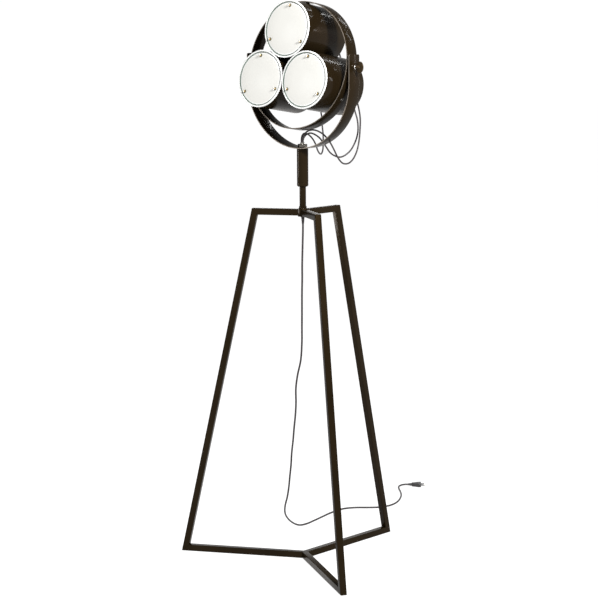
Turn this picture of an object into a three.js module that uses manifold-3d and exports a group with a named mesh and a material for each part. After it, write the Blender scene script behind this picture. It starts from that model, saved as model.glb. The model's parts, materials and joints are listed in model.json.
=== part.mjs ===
// Tripod floor lamp with three can spotlights in a tilting ring.
// Millimetres, +Z up. The origin is on the floor, on the axis of the stem.
// At rest the spotlights face -Y, tilted a little upwards.

import * as THREE from "three";
import { mergeVertices } from "three/addons/utils/BufferGeometryUtils.js";
import Module from "manifold-3d";

const wasm = await Module();
wasm.setup();

// ---------------------------------------------------------------- driving dimensions

const GAP = 0.3; // between pieces that touch
const CUT_MARGIN = 1; // how far a cutting tool runs past the surface
const WELD_OVERLAP = 1; // how far a welded piece runs into its neighbour
const EDGE_CHAMFER = 1;

const TUBE = 20; // square tube of the tripod
const TUBE_WALL = 1.5;
const FRAME_TOP = 1103; // top of the three arms
const TOP_REACH = 159.5; // from the axis to an arm's outer corner
const FOOT_REACH = 402; // from the axis to a foot's outer corner
const LEG_AZIMUTH = { left: 207, right: 327, rear: 87 };
const MITRE_GAP = 0.25; // taken off each tube along its own length at a mitre

const HUB_REACH = 13; // from the axis to the face that an arm meets
const HUB_HALF_FACE = 12;
const HUB_HEIGHT = 25;
const HUB_BORE = 6.5;
const HUB_TOP = FRAME_TOP + (HUB_HEIGHT - TUBE) / 2;
const HUB_BOTTOM = HUB_TOP - HUB_HEIGHT;

const STEM_RADIUS = 10;
const STEM_BORE = 8;
const STEM_TOP = 1262;
const COLLAR_RADIUS = 12;
const COLLAR_HEIGHT = 6;
const COLLAR_CHAMFER = 1;

const SLEEVE_RADIUS = 17.5;
const SLEEVE_BORE = 12.3;
const SLEEVE_BOTTOM = 1172;
const SLEEVE_CHAMFER = 3;
const SLEEVE_TOP_CHAMFER = 1;
const BUSH_SETBACK = [2, 4]; // of the bush from the sleeve's bottom and from the stem's top
const NIPPLE_RADIUS = 7.4;
const NIPPLE_BORE = 5.7;
const NIPPLE_BOTTOM = 1250;
const NIPPLE_TOP = 1306;

const YOKE_RADIUS = 203; // outside of the half circle
const YOKE_CENTRE = 1491; // height of the half circle's centre
const YOKE_TOP = 1574;
const YOKE_WIDTH = 48;
const STRIP = 3; // thickness of the yoke and of the ring
const YOKE_BOTTOM = YOKE_CENTRE - YOKE_RADIUS;
const SLEEVE_TOP = YOKE_BOTTOM - GAP;
const YOKE_NUT_FLATS = 26;
const YOKE_NUT_HEIGHT = 10;
const YOKE_NUT_LIFT = 1; // the strip curves up under the nut's corners

const PIVOT_HEIGHT = 1537; // axis of the tilt, and centre of the ring
const REST_TILT = 9; // degrees that the spotlights face upwards
const RING_RADIUS = 193;
const RING_WIDTH = 46.5;
const SCREW_RADIUS = 4;
const SCREW_HOLE = 4.3;

const CAN_CIRCLE = 100.5; // from the ring's centre to each can's centre
const CAN_ANGLE = { top: 90, left: 210, right: 330 };
const CANS = Object.keys(CAN_ANGLE);
const SIDES = [["right", 0], ["left", Math.PI]]; // of the pivot, and the turn about Z to get there
const CAN_RADIUS = 86;
const CAN_WALL = 1;
const CAN_FRONT = -81;
const CAN_REAR = 90;
const CAP_THICKNESS = 1;
const CAP_RIM = 12; // depth of the rear cap's rim inside the can
const CAP_REAR = 93;

const GLASS_RADIUS = 86.5;
const GLASS_THICKNESS = 4;
const GLASS_FRONT = -87;
const GLASS_SCREW_CIRCLE = 70;
const GLASS_SCREW_ANGLES = [90, 210, 330];
const GLASS_SCREW_RADIUS = 2;
const GLASS_SCREW_HEAD = 3.5;
const GLASS_SCREW_HEAD_HEIGHT = 5.5;
const GLASS_SCREW_TAIL = 5; // behind the clips' hoop
const CLIP_SETBACK = 1; // of the clips' hoop from the can's front edge
const GLASS_TURN = { top: -3, left: 5, right: -5 }; // degrees that each glass is turned in its can
const GLASS_HOLE = 2.3;
const CLIP_HOOP_DEPTH = 6;
const CLIP_THICKNESS = 1.5;
const CLIP_TAB_WIDTH = 10;

const CORD_RADIUS = 3;
const LEAD_RADIUS = 2.5;
const STRAIGHT = 6; // straight stretch of a cable next to a fitting

const ROUND = 32; // sides of the large round parts
const SMALL_ROUND = 16;
const YOKE_STEPS = 36;
const RING_STEPS = 64;

// ---------------------------------------------------------------- materials

const standard = (color, metalness, roughness) =>
  new THREE.MeshStandardMaterial({ color, metalness, roughness });

const bronze = standard(0x2f261c, 0.75, 0.32);
const brightSteel = standard(0xc9c4bb, 1, 0.22);
const darkChrome = standard(0x4a4742, 1, 0.18);
const brass = standard(0xa88752, 1, 0.3);
const frostedGlass = standard(0xf5f4f0, 0, 0.45);
const clearGlass = standard(0xf2f2ee, 0, 0.1);
const aluminium = standard(0xd2d2d0, 1, 0.3);
const nylon = standard(0xe8e5dc, 0, 0.6);
const porcelain = standard(0xf0eee8, 0, 0.35);
const greyCable = standard(0x7b7476, 0, 0.55);
const blackPlastic = standard(0x1d1c1c, 0, 0.45);

// ---------------------------------------------------------------- shape helpers

const radians = THREE.MathUtils.degToRad;

function solidOf(geometry) {
  const bare = geometry.index ? geometry.toNonIndexed() : geometry.clone();
  bare.deleteAttribute("normal");
  bare.deleteAttribute("uv");
  const merged = mergeVertices(bare, 1e-4);
  const mesh = new wasm.Mesh({
    numProp: 3,
    vertProperties: new Float32Array(merged.attributes.position.array),
    triVerts: new Uint32Array(merged.index.array),
  });
  return new wasm.Manifold(mesh);
}

function geometryOf(solid) {
  const mesh = solid.getMesh();
  const geometry = new THREE.BufferGeometry();
  const positions = new THREE.BufferAttribute(new Float32Array(mesh.vertProperties), 3);
  geometry.setAttribute("position", positions);
  geometry.setIndex(new THREE.BufferAttribute(new Uint32Array(mesh.triVerts), 1));
  geometry.computeVertexNormals();
  return geometry;
}

function cut(body, ...tools) {
  let solid = solidOf(body);
  for (const tool of tools) {
    solid = solid.subtract(solidOf(tool));
  }
  return geometryOf(solid);
}

function join(first, ...others) {
  let solid = solidOf(first);
  for (const other of others) {
    solid = solid.add(solidOf(other));
  }
  return geometryOf(solid);
}

// An outline of [x, y] points, extruded along +Z from `from` to `to`.
function prism(outline, from, to, holes = []) {
  const shape = new THREE.Shape(outline.map(([x, y]) => new THREE.Vector2(x, y)));
  shape.holes = holes.map((hole) => new THREE.Path(hole.map(([x, y]) => new THREE.Vector2(x, y))));
  const geometry = new THREE.ExtrudeGeometry(shape, { depth: to - from, bevelEnabled: false });
  return geometry.translate(0, 0, from);
}

// A closed profile of [radius, height] points turned about +Z.
function turned(profile, sides = SMALL_ROUND) {
  const points = profile.map(([r, z]) => new THREE.Vector2(r, z));
  const onAxis = profile[0][0] === 0 && profile[profile.length - 1][0] === 0;
  if (!onAxis) {
    points.push(points[0].clone());
  }
  return new THREE.LatheGeometry(points, sides).rotateX(Math.PI / 2);
}

// A profile with straight sides: a ring between two radii and two heights.
const ringProfile = (inner, outer, low, high) => [
  [inner, low],
  [outer, low],
  [outer, high],
  [inner, high],
];

const rod = (radius, low, high, sides = SMALL_ROUND) =>
  turned([[0, low], [radius, low], [radius, high], [0, high]], sides);

function polygon(radius, sides, turn = 0) {
  return Array.from({ length: sides }, (_, i) => {
    const angle = turn + (i * 2 * Math.PI) / sides;
    return [radius * Math.cos(angle), radius * Math.sin(angle)];
  });
}

const hexagon = (flats) => polygon(flats / 2 / Math.cos(Math.PI / 6), 6);

// Points on an arc in a plane, from one angle to another in degrees.
function arc(cx, cy, radius, from, to, steps) {
  return Array.from({ length: steps + 1 }, (_, i) => {
    const angle = radians(from + ((to - from) * i) / steps);
    return [cx + radius * Math.cos(angle), cy + radius * Math.sin(angle)];
  });
}

// A round tube of one solid along a smooth curve through the points.
function tubeAlong(points, radius, sides, step) {
  const curve = new THREE.CatmullRomCurve3(points.map((p) => new THREE.Vector3(...p)), false, "centripetal");
  const section = new THREE.Shape(polygon(radius, sides).map(([x, y]) => new THREE.Vector2(x, y)));
  const steps = Math.round(curve.getLength() / step);
  return new THREE.ExtrudeGeometry(section, { steps, bevelEnabled: false, extrudePath: curve });
}

function add(parent, name, geometry, material) {
  const mesh = new THREE.Mesh(geometry, material.clone());
  mesh.name = name;
  parent.add(mesh);
  return mesh;
}

// ---------------------------------------------------------------- tripod

// The outline of one leg frame in its own plane: x is the distance from the axis, y the height.
const legSlope = new THREE.Vector2(FOOT_REACH - TOP_REACH, -FRAME_TOP).normalize();

function innerCorner(height) {
  const inward = new THREE.Vector2(legSlope.y, -legSlope.x).multiplyScalar(TUBE);
  const onInside = new THREE.Vector2(TOP_REACH, FRAME_TOP).add(inward);
  return onInside.x + (legSlope.x / legSlope.y) * (height - onInside.y);
}

const innerTop = innerCorner(FRAME_TOP - TUBE);
const innerFoot = innerCorner(TUBE);

// A square tube whose outline lies in a leg's plane, hollow from end to end.
function squareTube(outline, core) {
  const body = prism(outline, -TUBE / 2, TUBE / 2);
  const hollow = prism(core, -TUBE / 2 + TUBE_WALL, TUBE / 2 - TUBE_WALL);
  return cut(body, hollow).rotateX(Math.PI / 2);
}

function topArm() {
  const start = HUB_REACH + GAP;
  const under = FRAME_TOP - TUBE;
  const outline = [
    [start, under],
    [innerTop - MITRE_GAP, under],
    [TOP_REACH - MITRE_GAP, FRAME_TOP],
    [start, FRAME_TOP],
  ];
  const core = [
    [start - TUBE, under + TUBE_WALL],
    [TOP_REACH + TUBE, under + TUBE_WALL],
    [TOP_REACH + TUBE, FRAME_TOP - TUBE_WALL],
    [start - TUBE, FRAME_TOP - TUBE_WALL],
  ];
  return squareTube(outline, core);
}

function leg() {
  const along = (x, y, distance) => [x + legSlope.x * distance, y + legSlope.y * distance];
  const outline = [
    along(innerTop, FRAME_TOP - TUBE, MITRE_GAP),
    along(innerFoot, TUBE, -MITRE_GAP),
    along(FOOT_REACH, 0, -MITRE_GAP),
    along(TOP_REACH, FRAME_TOP, MITRE_GAP),
  ];
  const side = new THREE.Vector2(-legSlope.y, legSlope.x);
  const length = Math.hypot(FOOT_REACH - TOP_REACH, FRAME_TOP);
  const onTube = (distance, inset) => {
    const [x, y] = along(TOP_REACH, FRAME_TOP, distance);
    return [x - side.x * inset, y - side.y * inset];
  };
  const core = [
    onTube(-TUBE, TUBE - TUBE_WALL),
    onTube(length + TUBE, TUBE - TUBE_WALL),
    onTube(length + TUBE, TUBE_WALL),
    onTube(-TUBE, TUBE_WALL),
  ];
  return squareTube(outline, core);
}

function bottomRail() {
  const start = TUBE / 2 / Math.sqrt(3) + GAP;
  const outline = [
    [start, 0],
    [FOOT_REACH - MITRE_GAP, 0],
    [innerFoot - MITRE_GAP, TUBE],
    [start, TUBE],
  ];
  const core = [
    [start - TUBE, TUBE_WALL],
    [FOOT_REACH + TUBE, TUBE_WALL],
    [FOOT_REACH + TUBE, TUBE - TUBE_WALL],
    [start - TUBE, TUBE - TUBE_WALL],
  ];
  return squareTube(outline, core);
}

function topHub() {
  const outline = [];
  for (const azimuth of Object.values(LEG_AZIMUTH).sort((a, b) => a - b)) {
    const face = radians(azimuth);
    for (const side of [-1, 1]) {
      outline.push([
        HUB_REACH * Math.cos(face) - side * HUB_HALF_FACE * Math.sin(face),
        HUB_REACH * Math.sin(face) + side * HUB_HALF_FACE * Math.cos(face),
      ]);
    }
  }
  return prism(outline, HUB_BOTTOM, HUB_TOP, [polygon(HUB_BORE, SMALL_ROUND)]);
}

// A three-sided core whose sides are as wide as the rails that meet them.
function bottomHub() {
  const corner = TUBE / Math.sqrt(3);
  return prism(polygon(corner, 3, radians(LEG_AZIMUTH.rear + 60)), 0, TUBE);
}

function buildTripod(lamp) {
  for (const [side, azimuth] of Object.entries(LEG_AZIMUTH)) {
    const frame = new THREE.Group();
    frame.rotation.z = radians(azimuth);
    lamp.add(frame);
    add(frame, `top_arm_${side}`, topArm(), bronze);
    add(frame, `leg_${side}`, leg(), bronze);
    add(frame, `bottom_rail_${side}`, bottomRail(), bronze);
  }
  add(lamp, "top_hub", topHub(), bronze);
  add(lamp, "bottom_hub", bottomHub(), bronze);
}

// ---------------------------------------------------------------- stem and swivel

function buildStem(lamp) {
  const stemFoot = HUB_TOP + GAP;
  add(lamp, "stem_tube", turned(ringProfile(STEM_BORE, STEM_RADIUS, stemFoot, STEM_TOP), 24), bronze);
  const collarTop = stemFoot + COLLAR_HEIGHT;
  const collar = turned([
    [STEM_RADIUS + GAP, stemFoot],
    [COLLAR_RADIUS, stemFoot],
    [COLLAR_RADIUS, collarTop - COLLAR_CHAMFER],
    [COLLAR_RADIUS - COLLAR_CHAMFER, collarTop],
    [STEM_RADIUS + GAP, collarTop],
  ], 24);
  add(lamp, "stem_collar", collar, bronze);
}

function buildSwivel(lamp) {
  const seat = STEM_TOP + GAP;
  const threadHole = NIPPLE_RADIUS + GAP;
  const sleeve = turned([
    [SLEEVE_BORE, SLEEVE_BOTTOM],
    [SLEEVE_RADIUS - SLEEVE_CHAMFER, SLEEVE_BOTTOM],
    [SLEEVE_RADIUS, SLEEVE_BOTTOM + SLEEVE_CHAMFER],
    [SLEEVE_RADIUS, SLEEVE_TOP - SLEEVE_TOP_CHAMFER],
    [SLEEVE_RADIUS - SLEEVE_TOP_CHAMFER, SLEEVE_TOP],
    [threadHole, SLEEVE_TOP],
    [threadHole, seat],
    [SLEEVE_BORE, seat],
  ], 24);
  add(lamp, "swivel_sleeve", sleeve, bronze);
  const bushFoot = SLEEVE_BOTTOM + BUSH_SETBACK[0];
  const bushTop = STEM_TOP - BUSH_SETBACK[1];
  const bush = turned(ringProfile(STEM_RADIUS + GAP, SLEEVE_BORE - GAP, bushFoot, bushTop), 24);
  add(lamp, "swivel_bush", bush, nylon);
  const nipple = turned(ringProfile(NIPPLE_BORE, NIPPLE_RADIUS, NIPPLE_BOTTOM, NIPPLE_TOP));
  add(lamp, "cable_nipple", nipple, brightSteel);
  const nutLow = YOKE_BOTTOM + STRIP + YOKE_NUT_LIFT;
  const nut = prism(
    hexagon(YOKE_NUT_FLATS),
    nutLow,
    nutLow + YOKE_NUT_HEIGHT,
    [polygon(threadHole, SMALL_ROUND)],
  );
  add(lamp, "yoke_nut", nut, darkChrome);
}

// ---------------------------------------------------------------- yoke

const BOSS_LENGTH = 3; // of the bosses welded to the outside of the yoke
const BOSS_RADIUS = 12;
const BOSS_CHAMFER = 1;
const SPACER_RADIUS = 8;

// A shape made for the right-hand pivot, joined with its copy on the left.
const onBothSides = (make) => join(make(), make().rotateZ(Math.PI));

// A shape made about +Z, laid along +X at the height of the pivot.
const atPivot = (geometry) => geometry.rotateY(Math.PI / 2).translate(0, 0, PIVOT_HEIGHT);

function tiltBoss() {
  const low = YOKE_RADIUS - WELD_OVERLAP;
  const high = YOKE_RADIUS + BOSS_LENGTH;
  return atPivot(turned([
    [SCREW_HOLE, low],
    [BOSS_RADIUS, low],
    [BOSS_RADIUS, high - BOSS_CHAMFER],
    [BOSS_RADIUS - BOSS_CHAMFER, high],
    [SCREW_HOLE, high],
  ]));
}

function yokeStrip() {
  const outside = YOKE_RADIUS;
  const inside = YOKE_RADIUS - STRIP;
  const outline = [
    [inside, YOKE_TOP],
    ...arc(0, YOKE_CENTRE, inside, 0, -180, YOKE_STEPS),
    [-inside, YOKE_TOP],
    [-outside, YOKE_TOP],
    ...arc(0, YOKE_CENTRE, outside, -180, 0, YOKE_STEPS),
    [outside, YOKE_TOP],
  ];
  const strip = prism(outline, -YOKE_WIDTH / 2, YOKE_WIDTH / 2).rotateX(Math.PI / 2);
  const nippleHole = rod(NIPPLE_RADIUS + GAP, YOKE_BOTTOM - STRIP, YOKE_BOTTOM + 2 * STRIP);
  const pivotHole = atPivot(rod(SCREW_HOLE, YOKE_RADIUS - 2 * STRIP, YOKE_RADIUS + 2 * BOSS_LENGTH));
  const otherHole = pivotHole.clone().rotateZ(Math.PI);
  return cut(join(strip, onBothSides(tiltBoss)), nippleHole, pivotHole, otherHole);
}

function buildYoke(lamp) {
  add(lamp, "yoke", yokeStrip(), bronze);
  for (const [side, turn] of SIDES) {
    const profile = ringProfile(SCREW_HOLE, SPACER_RADIUS, RING_RADIUS + GAP, YOKE_RADIUS - STRIP - GAP);
    add(lamp, `tilt_spacer_${side}`, atPivot(turned(profile)).rotateZ(turn), nylon);
  }
}

// ---------------------------------------------------------------- tilt screws

const TILT_SCREW_TIP = 180; // from the middle of the head to the screw's inner end
const FLANGE_RADIUS = 6.5;
const FLANGE_THICKNESS = 2;
const FLANGE_TAPER = 1;
const PADDLE_START = 211; // from the middle of the head to the near end of the oval
const PADDLE_LENGTH = 26;
const PADDLE_HEIGHT = 34;
const PADDLE_THICKNESS = 4;
const HUB_START = PADDLE_START - 1; // near end of the paddle's round hub
const HUB_LENGTH = 15;
const SOCKET_DEPTH = 11;

function tiltScrew() {
  const flange = YOKE_RADIUS + BOSS_LENGTH + GAP;
  const outerEnd = HUB_START + SOCKET_DEPTH - GAP;
  return atPivot(turned([
    [0, TILT_SCREW_TIP],
    [SCREW_RADIUS, TILT_SCREW_TIP],
    [SCREW_RADIUS, flange],
    [FLANGE_RADIUS, flange],
    [FLANGE_RADIUS, flange + FLANGE_THICKNESS],
    [SCREW_RADIUS, flange + FLANGE_THICKNESS + FLANGE_TAPER],
    [SCREW_RADIUS, outerEnd],
    [0, outerEnd],
  ]));
}

// A flat oval blade with a round hub, pressed over the outer end of the screw.
function tiltPaddle() {
  const middle = PADDLE_START + PADDLE_LENGTH / 2;
  const oval = arc(0, 0, 1, 0, 345, 23).map(([c, s]) => [
    middle + (PADDLE_LENGTH / 2) * c,
    (PADDLE_HEIGHT / 2) * s,
  ]);
  const blade = prism(oval, -PADDLE_THICKNESS / 2, PADDLE_THICKNESS / 2).rotateX(Math.PI / 2);
  const hub = rod(FLANGE_RADIUS, HUB_START, HUB_START + HUB_LENGTH).rotateY(Math.PI / 2);
  const socket = rod(SCREW_HOLE, HUB_START - CUT_MARGIN, HUB_START + SOCKET_DEPTH).rotateY(Math.PI / 2);
  return cut(join(blade, hub), socket).translate(0, 0, PIVOT_HEIGHT);
}

function buildTiltScrews(lamp) {
  for (const [side, turn] of SIDES) {
    add(lamp, `tilt_screw_${side}`, tiltScrew().rotateZ(turn), brightSteel);
    add(lamp, `tilt_paddle_${side}`, tiltPaddle().rotateZ(turn), bronze);
  }
}

// ---------------------------------------------------------------- ring

// In the head's own frame the ring's axis is Y, the cans face -Y and Z is up.
const WELD_NUT_RADIUS = 8;
const WELD_NUT_LENGTH = 5;
const FIXING_RADIUS = 2.5; // of the screw that holds each can to the ring
const FIXING_HOLE = 2.8;
const FIXING_HEAD_RADIUS = 5;
const FIXING_HEAD_HEIGHT = 2;
const FIXING_DEPTH = 8; // of the screw's tip inside the can
const CAN_BOSS_RADIUS = 6;
const CAN_BOSS_OVERLAP = 3; // how far the boss runs into the can
const FIXING_HOLE_DEPTH = 12; // from the outside of the can inwards

// A shape made about +Z, turned to a can's angle on the ring.
const toCanAngle = (geometry, which) => geometry.rotateY(radians(90 - CAN_ANGLE[which]));

function ringHoop() {
  const outer = polygon(RING_RADIUS, RING_STEPS);
  const inner = polygon(RING_RADIUS - STRIP, RING_STEPS);
  const hoop = prism(outer, -RING_WIDTH / 2, RING_WIDTH / 2, [inner]).rotateX(Math.PI / 2);
  const nutEnd = RING_RADIUS - STRIP - WELD_NUT_LENGTH;
  const weldNut = () => rod(WELD_NUT_RADIUS, nutEnd, RING_RADIUS - WELD_OVERLAP).rotateY(Math.PI / 2);
  const pivotHole = rod(SCREW_HOLE, -RING_RADIUS - STRIP, RING_RADIUS + STRIP).rotateY(Math.PI / 2);
  const fixingHoles = CANS.map((which) =>
    toCanAngle(rod(FIXING_HOLE, RING_RADIUS - 3 * STRIP, RING_RADIUS + STRIP, 12), which),
  );
  return cut(join(hoop, onBothSides(weldNut)), pivotHole, ...fixingHoles);
}

function canScrew() {
  const head = RING_RADIUS + GAP;
  return turned([
    [0, CAN_CIRCLE + CAN_RADIUS - FIXING_DEPTH],
    [FIXING_RADIUS, CAN_CIRCLE + CAN_RADIUS - FIXING_DEPTH],
    [FIXING_RADIUS, head],
    [FIXING_HEAD_RADIUS, head],
    [FIXING_HEAD_RADIUS - EDGE_CHAMFER, head + FIXING_HEAD_HEIGHT],
    [0, head + FIXING_HEAD_HEIGHT],
  ], 12);
}

function buildRing(head) {
  add(head, "ring_hoop", ringHoop(), bronze);
  for (const which of CANS) {
    add(head, `can_screw_${which}`, toCanAngle(canScrew(), which), darkChrome);
  }
}

// ---------------------------------------------------------------- spotlights

// Each piece of a spotlight is made about +Z with its front at the low end, then laid along +Y.
function atCan(geometry, which) {
  const angle = radians(CAN_ANGLE[which]);
  const x = CAN_CIRCLE * Math.cos(angle);
  const z = CAN_CIRCLE * Math.sin(angle);
  return geometry.rotateX(-Math.PI / 2).translate(x, 0, z);
}

function canShell(which) {
  const inner = CAN_RADIUS - CAN_WALL;
  const shell = atCan(turned(ringProfile(inner, CAN_RADIUS, CAN_FRONT, CAN_REAR), ROUND), which);
  const edge = CAN_CIRCLE + CAN_RADIUS;
  const bossEnd = RING_RADIUS - STRIP - 2 * GAP;
  const boss = toCanAngle(rod(CAN_BOSS_RADIUS, edge - CAN_BOSS_OVERLAP, bossEnd, 12), which);
  const hole = toCanAngle(rod(FIXING_HOLE, edge - FIXING_HOLE_DEPTH, RING_RADIUS + STRIP, 12), which);
  return cut(join(shell, boss), hole);
}

const VENTS = 6;
const VENT_CIRCLE = 52;
const VENT_LENGTH = 26;
const VENT_WIDTH = 4;
const GLAND_HOLE = 5.3;

function rearCap() {
  const outer = CAN_RADIUS - CAN_WALL - GAP;
  const plate = CAP_REAR - CAP_THICKNESS;
  const cap = turned([
    [GLAND_HOLE, plate],
    [outer - CAP_THICKNESS, plate],
    [outer - CAP_THICKNESS, CAP_REAR - CAP_RIM],
    [outer, CAP_REAR - CAP_RIM],
    [outer, CAP_REAR - EDGE_CHAMFER],
    [outer - EDGE_CHAMFER, CAP_REAR],
    [GLAND_HOLE, CAP_REAR],
  ], ROUND);
  const slots = Array.from({ length: VENTS }, (_, i) => {
    const slot = new THREE.BoxGeometry(VENT_LENGTH, VENT_WIDTH, 4 * CAP_THICKNESS);
    return slot.translate(0, VENT_CIRCLE, CAP_REAR).rotateZ((i * 2 * Math.PI) / VENTS);
  });
  return cut(cap, ...slots);
}

const REFLECTOR = [[77, -72], [64, -45], [46, -20], [24, -6]];
const REFLECTOR_WALL = 1.2;

function reflector() {
  const outside = REFLECTOR.map(([r, y]) => [r + REFLECTOR_WALL, y + REFLECTOR_WALL]);
  return turned([...outside, ...REFLECTOR.slice().reverse()], 24);
}

const HOLDER_RADIUS = 20;
const HOLDER_FRONT = 0;
const HOLDER_REAR = 58;
const SOCKET_RADIUS = 14;
const SOCKET_FLOOR = 46;

const HOLDER_SLOPE = [6, 10]; // how far the holder narrows, and over what length

const lampHolder = () => turned([
  [0, SOCKET_FLOOR],
  [SOCKET_RADIUS, SOCKET_FLOOR],
  [SOCKET_RADIUS, HOLDER_FRONT],
  [HOLDER_RADIUS, HOLDER_FRONT],
  [HOLDER_RADIUS, HOLDER_REAR - HOLDER_SLOPE[1]],
  [HOLDER_RADIUS - HOLDER_SLOPE[0], HOLDER_REAR],
  [0, HOLDER_REAR],
]);

const BULB_RADIUS = 22;
const BULB_CENTRE = -26;
const BULB_BASE_RADIUS = 13;
const BULB_CONTACT_RADIUS = 5;
const BULB_CONTACT_GAP = 8; // from the socket's floor
const BULB_SLOPE_LENGTH = 6; // from the cap to the contact
const BULB_ARC = [-72, 54, 7]; // first and last angle of the bulb's round glass, and its steps

const bulb = () => turned([
  [0, BULB_CENTRE - BULB_RADIUS],
  ...arc(0, BULB_CENTRE, BULB_RADIUS, ...BULB_ARC),
  [BULB_BASE_RADIUS, HOLDER_FRONT],
  [BULB_BASE_RADIUS, SOCKET_FLOOR - BULB_CONTACT_GAP - BULB_SLOPE_LENGTH],
  [BULB_CONTACT_RADIUS, SOCKET_FLOOR - BULB_CONTACT_GAP],
  [0, SOCKET_FLOOR - BULB_CONTACT_GAP],
]);

const GLAND_SEAT = CAP_REAR + GAP;
const GLAND_LENGTH = 28; // from the cap's back to the thin end of the strain relief
const GLAND_END = CAP_REAR + GLAND_LENGTH;

const GLAND_NECK_DEPTH = 6; // of the gland's neck inside the cap
const GLAND_NUT_RADIUS = 9;
const GLAND_NUT_LENGTH = 6;
const GLAND_TAPER = [[6, 9], [4, GLAND_END - GLAND_SEAT]]; // radius and distance from the seat

const leadGland = () => turned([
  [LEAD_RADIUS + GAP, CAP_REAR - GLAND_NECK_DEPTH],
  [GLAND_HOLE - GAP, CAP_REAR - GLAND_NECK_DEPTH],
  [GLAND_HOLE - GAP, GLAND_SEAT],
  [GLAND_NUT_RADIUS, GLAND_SEAT],
  [GLAND_NUT_RADIUS, GLAND_SEAT + GLAND_NUT_LENGTH],
  ...GLAND_TAPER.map(([radius, distance]) => [radius, GLAND_SEAT + distance]),
  [LEAD_RADIUS + GAP, GLAND_END],
]);

// One shape at each of the three screws of a can's glass disc.
function atGlassScrews(which, make) {
  const angles = GLASS_SCREW_ANGLES.map((angle) => angle + GLASS_TURN[which]);
  return angles.map((angle) => make().translate(GLASS_SCREW_CIRCLE, 0, 0).rotateZ(radians(-angle)));
}

function glassDisc(which) {
  const back = GLASS_FRONT + GLASS_THICKNESS;
  const disc = rod(GLASS_RADIUS, GLASS_FRONT, back, ROUND);
  const hole = () => rod(GLASS_HOLE, GLASS_FRONT - CUT_MARGIN, back + CUT_MARGIN, 10);
  return cut(disc, ...atGlassScrews(which, hole));
}

// A hoop inside the can's mouth with three tabs, and a screw on each tab that clamps the glass.
function glassClips(which) {
  const outer = CAN_RADIUS - CAN_WALL - GAP;
  const low = CAN_FRONT + CLIP_SETBACK;
  const hoop = turned(ringProfile(outer - CLIP_THICKNESS, outer, low, low + CLIP_HOOP_DEPTH), ROUND);
  const tabEnd = CLIP_TAB_WIDTH / 2 + 1; // beyond the screw, towards the middle of the glass
  const tabLength = outer - CLIP_THICKNESS / 2 - GLASS_SCREW_CIRCLE + tabEnd;
  const tab = () =>
    new THREE.BoxGeometry(tabLength, CLIP_TAB_WIDTH, CLIP_THICKNESS)
      .translate(tabLength / 2 - tabEnd, 0, low + CLIP_THICKNESS / 2);
  const screw = () => turned([
    [0, GLASS_FRONT - GAP - GLASS_SCREW_HEAD_HEIGHT],
    [GLASS_SCREW_HEAD - EDGE_CHAMFER, GLASS_FRONT - GAP - GLASS_SCREW_HEAD_HEIGHT],
    [GLASS_SCREW_HEAD, GLASS_FRONT - GAP - GLASS_SCREW_HEAD_HEIGHT + EDGE_CHAMFER],
    [GLASS_SCREW_HEAD, GLASS_FRONT - GAP],
    [GLASS_SCREW_RADIUS, GLASS_FRONT - GAP],
    [GLASS_SCREW_RADIUS, low + GLASS_SCREW_TAIL],
    [0, low + GLASS_SCREW_TAIL],
  ], 10);
  return join(hoop, ...atGlassScrews(which, tab), ...atGlassScrews(which, screw));
}

function buildSpotlights(head) {
  const pieces = [
    ["rear_cap", rearCap, bronze],
    ["reflector", reflector, aluminium],
    ["lamp_holder", lampHolder, porcelain],
    ["bulb", bulb, clearGlass],
    ["glass", glassDisc, frostedGlass],
    ["glass_clips", glassClips, brass],
    ["lead_gland", leadGland, blackPlastic],
  ];
  for (const which of CANS) {
    add(head, `can_${which}`, canShell(which), bronze);
    for (const [name, make, material] of pieces) {
      add(head, `${name}_${which}`, atCan(make(which), which), material);
    }
  }
}

// ---------------------------------------------------------------- leads to the cans

// The leads rise from the nipple, loop down behind the yoke and end in the cans' rear glands.
// Each route lists the points between a straight start and a straight end.
const LEADS = {
  left: {
    start: [-2.6, -1.5],
    route: [
      [-3.5, 0.5, 1320], [-6, 8, 1328.5], [-8, 21, 1332.5], [-8.5, 41, 1326], [-10, 62, 1311],
      [-15, 81, 1293], [-23, 99, 1275],
      [-33, 121, 1263], [-45, 144, 1261], [-57, 165, 1272], [-68, 180, 1292], [-75, 188, 1317],
      [-80, 190, 1343], [-82, 190, 1370], [-83, 184, 1396], [-84, 173, 1420], [-85, 157, 1441],
      [-86, 136, 1458],
    ],
  },
  right: {
    start: [2.6, -1.5],
    route: [
      [6, -3, 1324], [18, 1, 1340], [38, 9, 1345], [62, 21, 1334], [79, 33, 1311], [88, 45, 1284],
      [90, 62, 1258], [89, 86, 1241], [88, 116, 1240], [86, 143, 1255], [85, 161, 1280],
      [84, 171, 1309], [84, 175, 1339], [85, 175, 1370], [85, 169, 1400], [85, 157, 1429],
      [86, 137, 1454],
    ],
  },
  top: {
    start: [0, 3],
    route: [
      [1, 6.5, 1321], [3.5, 16, 1330], [8.5, 31, 1333], [18, 56, 1319.5], [25, 77, 1294], [32, 99, 1267],
      [42, 130, 1255], [53, 159, 1269], [61, 178, 1297], [65, 188, 1330], [61, 191, 1365], [50, 190, 1399],
      [38, 190, 1433], [25, 190, 1467], [12, 190, 1501], [3, 189, 1535], [-2, 181, 1569], [-1, 163, 1600],
    ],
  },
};
const LEAD_SIDES = 8;
const LEAD_STEP = 15; // distance between the sections of a lead

// The place of a lead's far end, on the axis of its can, in the lamp's frame.
function glandPoint(which, distance) {
  const place = atCan(new THREE.BufferGeometry().setFromPoints([new THREE.Vector3(0, 0, distance)]), which);
  place.rotateX(radians(-REST_TILT)).translate(0, 0, PIVOT_HEIGHT);
  return Array.from(place.attributes.position.array);
}

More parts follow.
